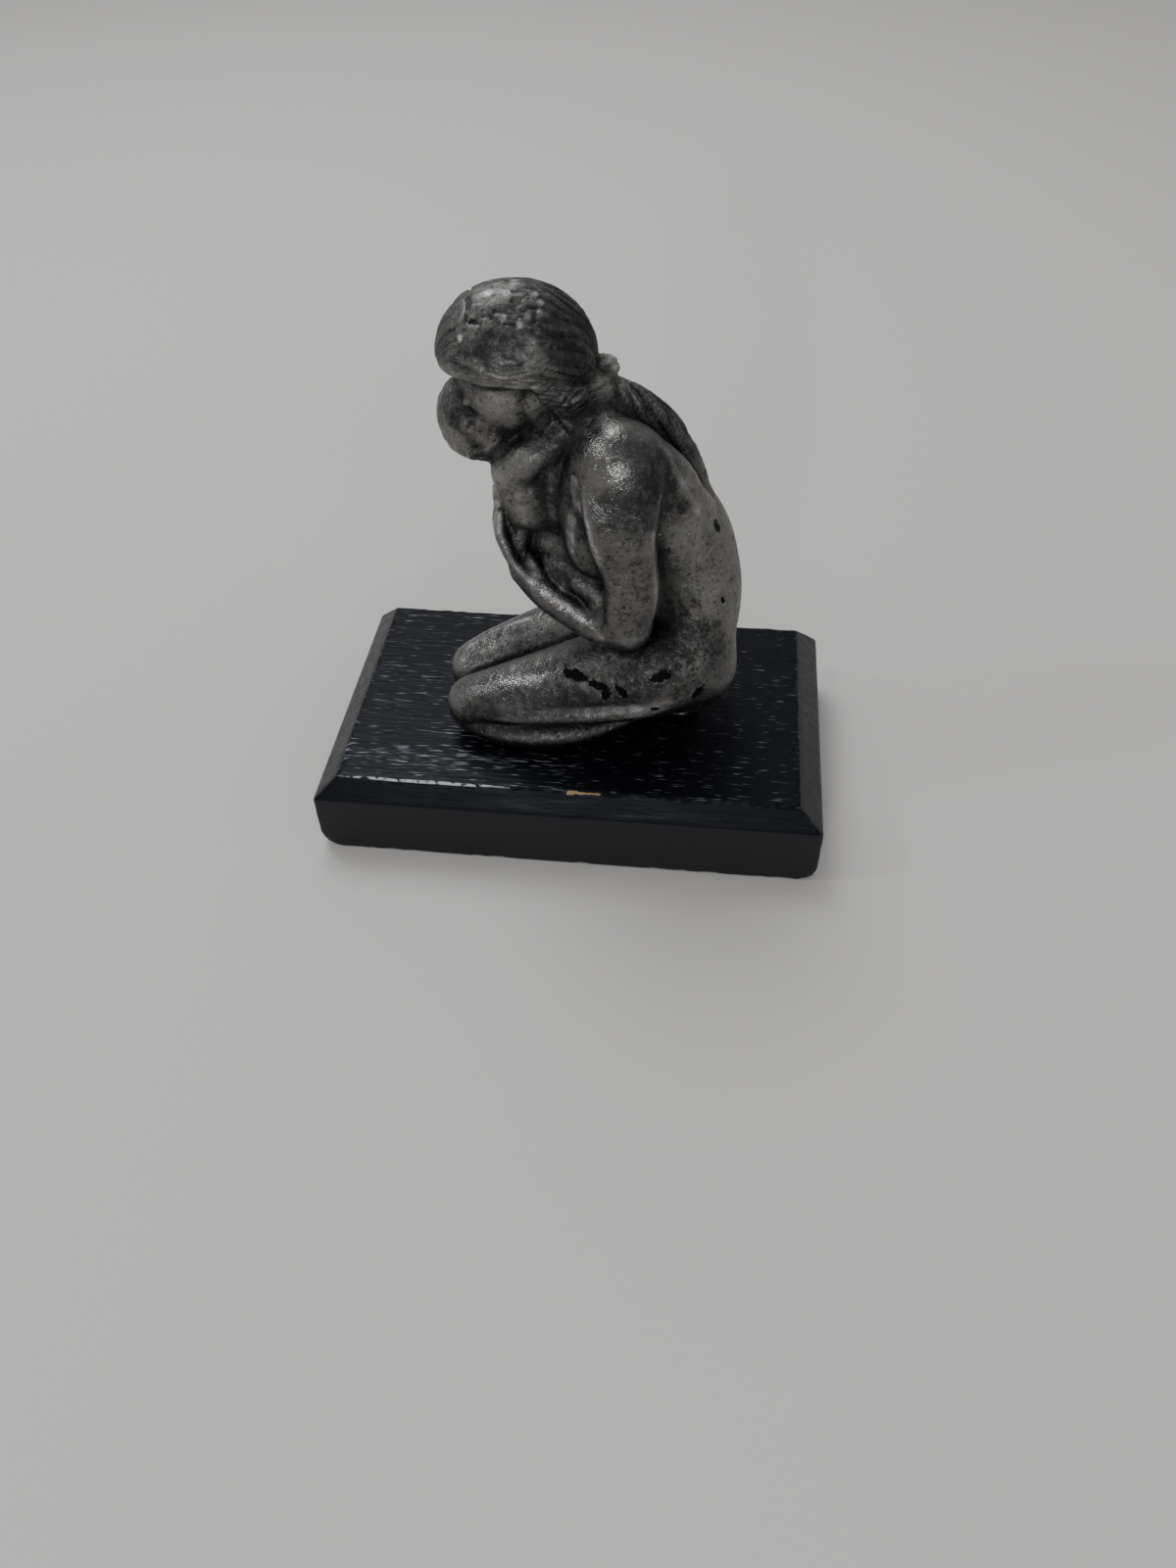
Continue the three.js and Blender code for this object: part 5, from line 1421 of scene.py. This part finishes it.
def plinth_shape(tree, inputs):
    """Where each vertex of the unit block goes, and how near an edge and a lower corner it then is."""
    at = parts_of(tree, node(tree, "GeometryNodeInputPosition").outputs[0])
    level = plus(tree, at[2], 0.5)
    below = calc(tree, "DIVIDE", level, STRAIGHT_SHARE, clamp=True)
    above = calc(tree, "DIVIDE", minus(tree, level, STRAIGHT_SHARE), 1 - STRAIGHT_SHARE, clamp=True)
    straight = minus(tree, inputs["Height"], inputs["Bevel Rise"])
    z = plus(tree, times(tree, below, straight), times(tree, above, inputs["Bevel Rise"]))
    half_x = minus(tree, times(tree, inputs["Length"], 0.5), times(tree, above, inputs["End Bevel"]))
    half_y = minus(tree, times(tree, inputs["Depth"], 0.5), times(tree, above, inputs["Side Bevel"]))
    x, y = times(tree, at[0], 2.0, half_x), times(tree, at[1], 2.0, half_y)

    near_x = minus(tree, half_x, calc(tree, "ABSOLUTE", x))
    near_y = minus(tree, half_y, calc(tree, "ABSOLUTE", y))
    near_z = calc(tree, "MINIMUM", z, minus(tree, inputs["Height"], z))
    upright = calc(tree, "MAXIMUM", near_x, near_y)
    # An edge is as near as the middle one of a vertex's distances to the faces.
    level_edges = calc(tree, "MINIMUM", calc(tree, "MAXIMUM", near_y, near_z),
                       calc(tree, "MAXIMUM", near_x, near_z))
    shape = node(tree, "ShaderNodeCombineXYZ", None, {0: x, 1: y, 2: z}).outputs[0]
    return shape, calc(tree, "MINIMUM", upright, level_edges), plus(tree, upright, z)


def plinth_wear(tree, inputs, place):
    """How deep the plinth is sunk by its worn edges, its grain and its blunted lower corners."""
    edge_share, corner_share = (
        node(tree, "GeometryNodeInputNamedAttribute", {"data_type": "FLOAT"}, {"Name": name}).outputs[0]
        for name in ("edge_wear", "corner_wear")
    )
    lumps = noise(tree, place, 260.0, 3.0)
    worn = times(tree, edge_share, between(tree, lumps, 0.45, 0.7), inputs["Edge Wear"])
    along = node(tree, "ShaderNodeVectorMath", {"operation": "MULTIPLY"}, {0: place, 1: (0.05, 1, 1)})
    grain = times(tree, noise(tree, along.outputs[0], 900.0, 2.0), inputs["Grain Depth"])
    blunt = times(tree, calc(tree, "POWER", corner_share, 1.5), between(tree, lumps, 0.3, 0.7, 0.7, 1.2),
                  inputs["Corner Wear"])
    return plus(tree, worn, grain, blunt)


def plinth_tree():
    """A straight lower part, bevels that rise from its edge to the smaller top, grain and worn edges."""
    tree, inputs, out = new_tree("bevelled_plinth", [
        ("Length", "NodeSocketFloat", 100 * MM),
        ("Depth", "NodeSocketFloat", 60 * MM),
        ("Height", "NodeSocketFloat", 18 * MM),
        ("Bevel Rise", "NodeSocketFloat", BEVEL_RISE),
        ("End Bevel", "NodeSocketFloat", END_BEVEL),
        ("Side Bevel", "NodeSocketFloat", SIDE_BEVEL),
        ("Edge Wear", "NodeSocketFloat", 0.25 * MM),
        ("Corner Wear", "NodeSocketFloat", 2.2 * MM),
        ("Grain Depth", "NodeSocketFloat", 0.05 * MM),
        ("Vertices", "NodeSocketInt", 220),
        ("Material", "NodeSocketMaterial", None),
    ])
    marked = node(tree, "GeometryNodeMeshCube", None, {
        "Size": (1, 1, 1), "Vertices X": inputs["Vertices"],
        "Vertices Y": times(tree, inputs["Vertices"], 0.6), "Vertices Z": BLOCK_LEVELS,
    }).outputs[0]
    shape, edge, corner = plinth_shape(tree, inputs)
    for name, share in (("edge_wear", between(tree, edge, 0.0, 0.8 * MM, 1.0, 0.0)),
                        ("corner_wear", between(tree, corner, 0.0, 4.0 * MM, 1.0, 0.0))):
        marked = node(tree, "GeometryNodeStoreNamedAttribute", {"data_type": "FLOAT", "domain": "POINT"}, {
            "Geometry": marked, "Name": name, "Value": share,
        }).outputs[0]
    shaped = node(tree, "GeometryNodeSetPosition", None, {"Geometry": marked, "Position": shape})

    # Rounding: each vertex moves towards the mean of its neighbours, which only shows at the edges.
    place = node(tree, "GeometryNodeInputPosition").outputs[0]
    soft = node(tree, "GeometryNodeBlurAttribute", {"data_type": "FLOAT_VECTOR"}, {
        "Value": place, "Iterations": 2, "Weight": 1.0,
    })
    softened = node(tree, "GeometryNodeSetPosition", None, {
        "Geometry": shaped.outputs[0], "Position": soft.outputs[0],
    }).outputs[0]
    finish_tree(tree, out, softened, plinth_wear(tree, inputs, place), inputs["Material"])
    return tree


# The stage.

FLOOR_REACH = 3.0
LAMPS_LOOK_AT = Vector((0, 0, 0.05))


def add_floor(settings):
    """A plain floor, flat at the plinth's underside."""
    corners = np.array([(-1, -1, 0), (1, -1, 0), (1, 1, 0), (-1, 1, 0)]) * FLOOR_REACH
    floor = new_object("floor", mesh_of("floor", corners, np.array([[0, 1, 2], [0, 2, 3]])))
    floor.data.materials.append(pale_floor(settings))


def add_sky(settings):
    """Even light from all round."""
    world = bpy.data.worlds.new("studio")
    world.use_nodes = True
    sky = world.node_tree.nodes["Background"].inputs
    sky["Color"].default_value = (1, 0.99, 0.98, 1)
    sky["Strength"].default_value = settings.sky
    bpy.context.scene.world = world


def add_lamp(name, spot, size, power):
    """A square lamp that looks at the middle of the statuette."""
    light = bpy.data.lights.new(name, "AREA")
    light.shape = "SQUARE"
    light.size = size
    light.energy = power
    lamp = new_object(name, light)
    lamp.location = spot
    lamp.rotation_euler = (LAMPS_LOOK_AT - Vector(spot)).to_track_quat("-Z", "Y").to_euler()


def add_camera(settings):
    """The camera, at the photograph's viewing angle."""
    lens = bpy.data.cameras.new("camera")
    lens.sensor_fit = "AUTO"
    lens.sensor_width = 36
    lens.lens = settings.camera_lens
    lens.clip_start = 5 * MM
    camera = new_object("camera", lens)
    camera.location = settings.camera_spot
    camera.rotation_euler = Euler(settings.camera_turn, "XYZ")
    bpy.context.scene.camera = camera


# Settings, operators and the panel.

class CastingSettings(bpy.types.PropertyGroup):
    """Sizes and colours of the casting."""

    cell: bpy.props.FloatProperty(
        name="Cell", description="Grid spacing of the sculpted surface",
        default=0.38 * MM, unit="LENGTH", precision=5)
    triangles: bpy.props.IntProperty(
        name="Triangles", description="Most triangles of the finished casting", default=190000)
    pit_depth: bpy.props.FloatProperty(
        name="Pit Depth", description="Depth of the casting pits",
        default=0.25 * MM, unit="LENGTH", precision=5)
    metal_colour: bpy.props.FloatVectorProperty(
        name="Metal", description="Colour of the bare metal",
        default=(0.120, 0.1185, 0.1155), subtype="COLOR")
    dull_colour: bpy.props.FloatVectorProperty(
        name="Dull", description="Colour of the dull, paler places",
        default=(0.22, 0.217, 0.206), subtype="COLOR")
    # The dark colour of specks and stains, which is also the painted shade in hollows, creases and grooves.
    shade_and_dark_colour: bpy.props.FloatVectorProperty(
        name="Hollows", description="Colour of the metal in hollows",
        default=(0.025, 0.0245, 0.0245), subtype="COLOR")
    # The bright colour of rubbed ridges, which is also the painted highlight on lit edges, polished places
    # and the hair's glints.
    worn_and_highlight_colour: bpy.props.FloatVectorProperty(
        name="Worn", description="Colour of rubbed ridges",
        default=(0.44, 0.435, 0.43), subtype="COLOR")
    chip_colour: bpy.props.FloatVectorProperty(
        name="Chips", description="Colour under the flaked chips",
        default=(0.006, 0.006, 0.007), subtype="COLOR")


class PlinthSettings(bpy.types.PropertyGroup):
    """Sizes and colours of the plinth."""

    length: bpy.props.FloatProperty(
        name="Length", description="Length along X",
        default=PLINTH_HIGH.x - PLINTH_LOW.x, unit="LENGTH")
    depth: bpy.props.FloatProperty(
        name="Depth", description="Depth along Y",
        default=PLINTH_HIGH.y - PLINTH_LOW.y, unit="LENGTH")
    height: bpy.props.FloatProperty(
        name="Height", description="Height of the top",
        default=PLINTH_HIGH.z - PLINTH_LOW.z, unit="LENGTH")
    bevel_rise: bpy.props.FloatProperty(
        name="Bevel Rise", description="Height of the bevels",
        default=BEVEL_RISE, unit="LENGTH", precision=4)
    end_bevel: bpy.props.FloatProperty(
        name="End Bevel", description="Width of the bevels at the two ends",
        default=END_BEVEL, unit="LENGTH", precision=4)
    side_bevel: bpy.props.FloatProperty(
        name="Side Bevel", description="Width of the bevels at the two sides",
        default=SIDE_BEVEL, unit="LENGTH", precision=4)
    paint_colour: bpy.props.FloatVectorProperty(
        name="Paint", description="Colour of the black paint",
        default=(0.003, 0.0034, 0.0052), subtype="COLOR")
    # The colour of the painted glints on the top's ripples.
    ripple_glint_colour: bpy.props.FloatVectorProperty(
        name="Streaks", description="Colour of the glints on the paint's ripples",
        default=(0.30, 0.32, 0.37), subtype="COLOR")
    # The sides' duller paint, painted lighter as well, as if the light falls on them.
    side_paint_and_light_colour: bpy.props.FloatVectorProperty(
        name="Sides", description="Colour of the duller paint on the sides",
        default=(0.019, 0.0192, 0.0208), subtype="COLOR")
    # Painted light: the end bevels are lighter, as if lit.
    end_light_colour: bpy.props.FloatVectorProperty(
        name="Ends", description="Colour of the dusty bevels at the two ends",
        default=(0.034, 0.035, 0.037), subtype="COLOR")
    # The front edge's rubbed line, which is also a painted highlight.
    glint_colour: bpy.props.FloatVectorProperty(
        name="Worn Edge", description="Colour of the front edge's worn line",
        default=(0.42, 0.43, 0.45), subtype="COLOR")
    rubbed_colour: bpy.props.FloatVectorProperty(
        name="Rubbed", description="Colour of the rubbed edges",
        default=(0.07, 0.075, 0.085), subtype="COLOR")
    wood_colour: bpy.props.FloatVectorProperty(
        name="Wood", description="Colour of the bare wood",
        default=(0.30, 0.20, 0.11), subtype="COLOR")


class StageSettings(bpy.types.PropertyGroup):
    """The floor, the lights and the camera."""

    floor_colour: bpy.props.FloatVectorProperty(
        name="Floor", description="Colour of the floor", default=(0.57, 0.56, 0.55), subtype="COLOR")
    sky: bpy.props.FloatProperty(
        name="Sky", description="Strength of the even light all round", default=0.45)
    key_power: bpy.props.FloatProperty(
        name="Key Light", description="Power of the large lamp overhead", default=4.0, unit="POWER")
    window_power: bpy.props.FloatProperty(
        name="Window Light", description="Power of the lamp on the left", default=1.0, unit="POWER")
    spot_power: bpy.props.FloatProperty(
        name="Spot Light", description="Power of the small lamp below the camera",
        default=1.4, unit="POWER")
    fill_power: bpy.props.FloatProperty(
        name="Fill Light", description="Power of the lamp beside the camera", default=0.8, unit="POWER")
    camera_spot: bpy.props.FloatVectorProperty(
        name="Camera", description="Place of the camera",
        default=(0.02406, -0.18329, 0.18093), subtype="TRANSLATION")
    camera_turn: bpy.props.FloatVectorProperty(
        name="Camera Angle", description="Direction of the camera",
        default=[math.radians(a) for a in (44.417, 0.81, 6.27)], subtype="EULER")
    camera_lens: bpy.props.FloatProperty(
        name="Lens", description="Focal length in millimetres", default=27.045)


class STATUETTE_OT_casting(bpy.types.Operator):
    """Sculpts the mother and child as one closed mesh"""

    bl_idname = "statuette.casting"
    bl_label = "Mother and Child"

    def execute(self, context):
        settings = context.scene.statuette_casting
        cell = settings.cell / MM
        value = sampled(casting_solid(), SCULPT_LOW, SCULPT_HIGH, cell, SCULPT_REACH)
        vertices, triangles = skinned(value, SCULPT_LOW, cell)
        mesh = mesh_of("casting", vertices * MM, triangles)
        mesh.transform(casting_place())
        casting = new_object("mother_and_child_casting", mesh)
        pits = casting.modifiers.new("pits", "NODES")
        pits.node_group = pitted_tree()
        set_inputs(pits, pits.node_group, {
            "Pit Depth": settings.pit_depth, "Material": cast_metal(settings),
        })
        thinned = casting.modifiers.new("thinned", "DECIMATE")
        thinned.ratio = min(1.0, settings.triangles / len(triangles))
        applied(casting)
        casting.data.shade_smooth()
        mark_metal(casting.data, value, SCULPT_LOW, cell)
        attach(casting, "root")
        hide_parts("mother_and_child")
        return {"FINISHED"}


class STATUETTE_OT_plinth(bpy.types.Operator):
    """Builds the bevelled wooden plinth"""

    bl_idname = "statuette.plinth"
    bl_label = "Plinth"

    def execute(self, context):
        settings = context.scene.statuette_plinth
        plinth = new_object("painted_plinth", bpy.data.meshes.new("painted_plinth"))
        built = plinth.modifiers.new("bevelled_plinth", "NODES")
        built.node_group = plinth_tree()
        set_inputs(built, built.node_group, {
            "Length": settings.length, "Depth": settings.depth, "Height": settings.height,
            "Bevel Rise": settings.bevel_rise, "End Bevel": settings.end_bevel,
            "Side Bevel": settings.side_bevel, "Material": black_paint(settings),
        })
        applied(plinth)
        plinth.data.shade_smooth()
        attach(plinth, "root")
        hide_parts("plinth")
        return {"FINISHED"}


class STATUETTE_OT_stage(bpy.types.Operator):
    """Sets the floor, the lights and the camera"""

    bl_idname = "statuette.stage"
    bl_label = "Stage"

    def execute(self, context):
        settings = context.scene.statuette_stage
        add_floor(settings)
        add_sky(settings)
        add_lamp("key", (-0.25, 0.35, 0.75), 0.45, settings.key_power)
        add_lamp("window", (-0.68, -0.20, 0.56), 0.08, settings.window_power)
        add_lamp("spot", (-0.10, -0.82, 0.33), 0.07, settings.spot_power)
        add_lamp("fill", (0.32, -0.70, 0.38), 0.25, settings.fill_power)
        add_camera(settings)
        return {"FINISHED"}


class STATUETTE_PT_panel(bpy.types.Panel):
    """Lists the statuette's pieces"""

    bl_label = "Statuette"
    bl_space_type = "VIEW_3D"
    bl_region_type = "UI"
    bl_category = "Statuette"

    def draw(self, context):
        for operator in OPERATORS:
            self.layout.operator(operator.bl_idname)
        for group in ("statuette_casting", "statuette_plinth", "statuette_stage"):
            settings = getattr(context.scene, group)
            box = self.layout.box()
            for name in settings.__annotations__:
                box.prop(settings, name)


OPERATORS = (STATUETTE_OT_casting, STATUETTE_OT_plinth, STATUETTE_OT_stage)
SETTINGS = (CastingSettings, PlinthSettings, StageSettings)
CLASSES = (*SETTINGS, *OPERATORS, STATUETTE_PT_panel)


def register():
    """Registers the classes and keeps their settings on the scene."""
    for cls in CLASSES:
        bpy.utils.register_class(cls)
    bpy.types.Scene.statuette_casting = bpy.props.PointerProperty(type=CastingSettings)
    bpy.types.Scene.statuette_plinth = bpy.props.PointerProperty(type=PlinthSettings)
    bpy.types.Scene.statuette_stage = bpy.props.PointerProperty(type=StageSettings)


def unregister():
    """Takes back what register did."""
    del bpy.types.Scene.statuette_stage
    del bpy.types.Scene.statuette_plinth
    del bpy.types.Scene.statuette_casting
    for cls in reversed(CLASSES):
        bpy.utils.unregister_class(cls)


def main():
    """Makes the pieces and the stage."""
    register()
    bpy.ops.statuette.casting()
    bpy.ops.statuette.plinth()
    bpy.ops.statuette.stage()


if __name__ == "__main__":
    main()
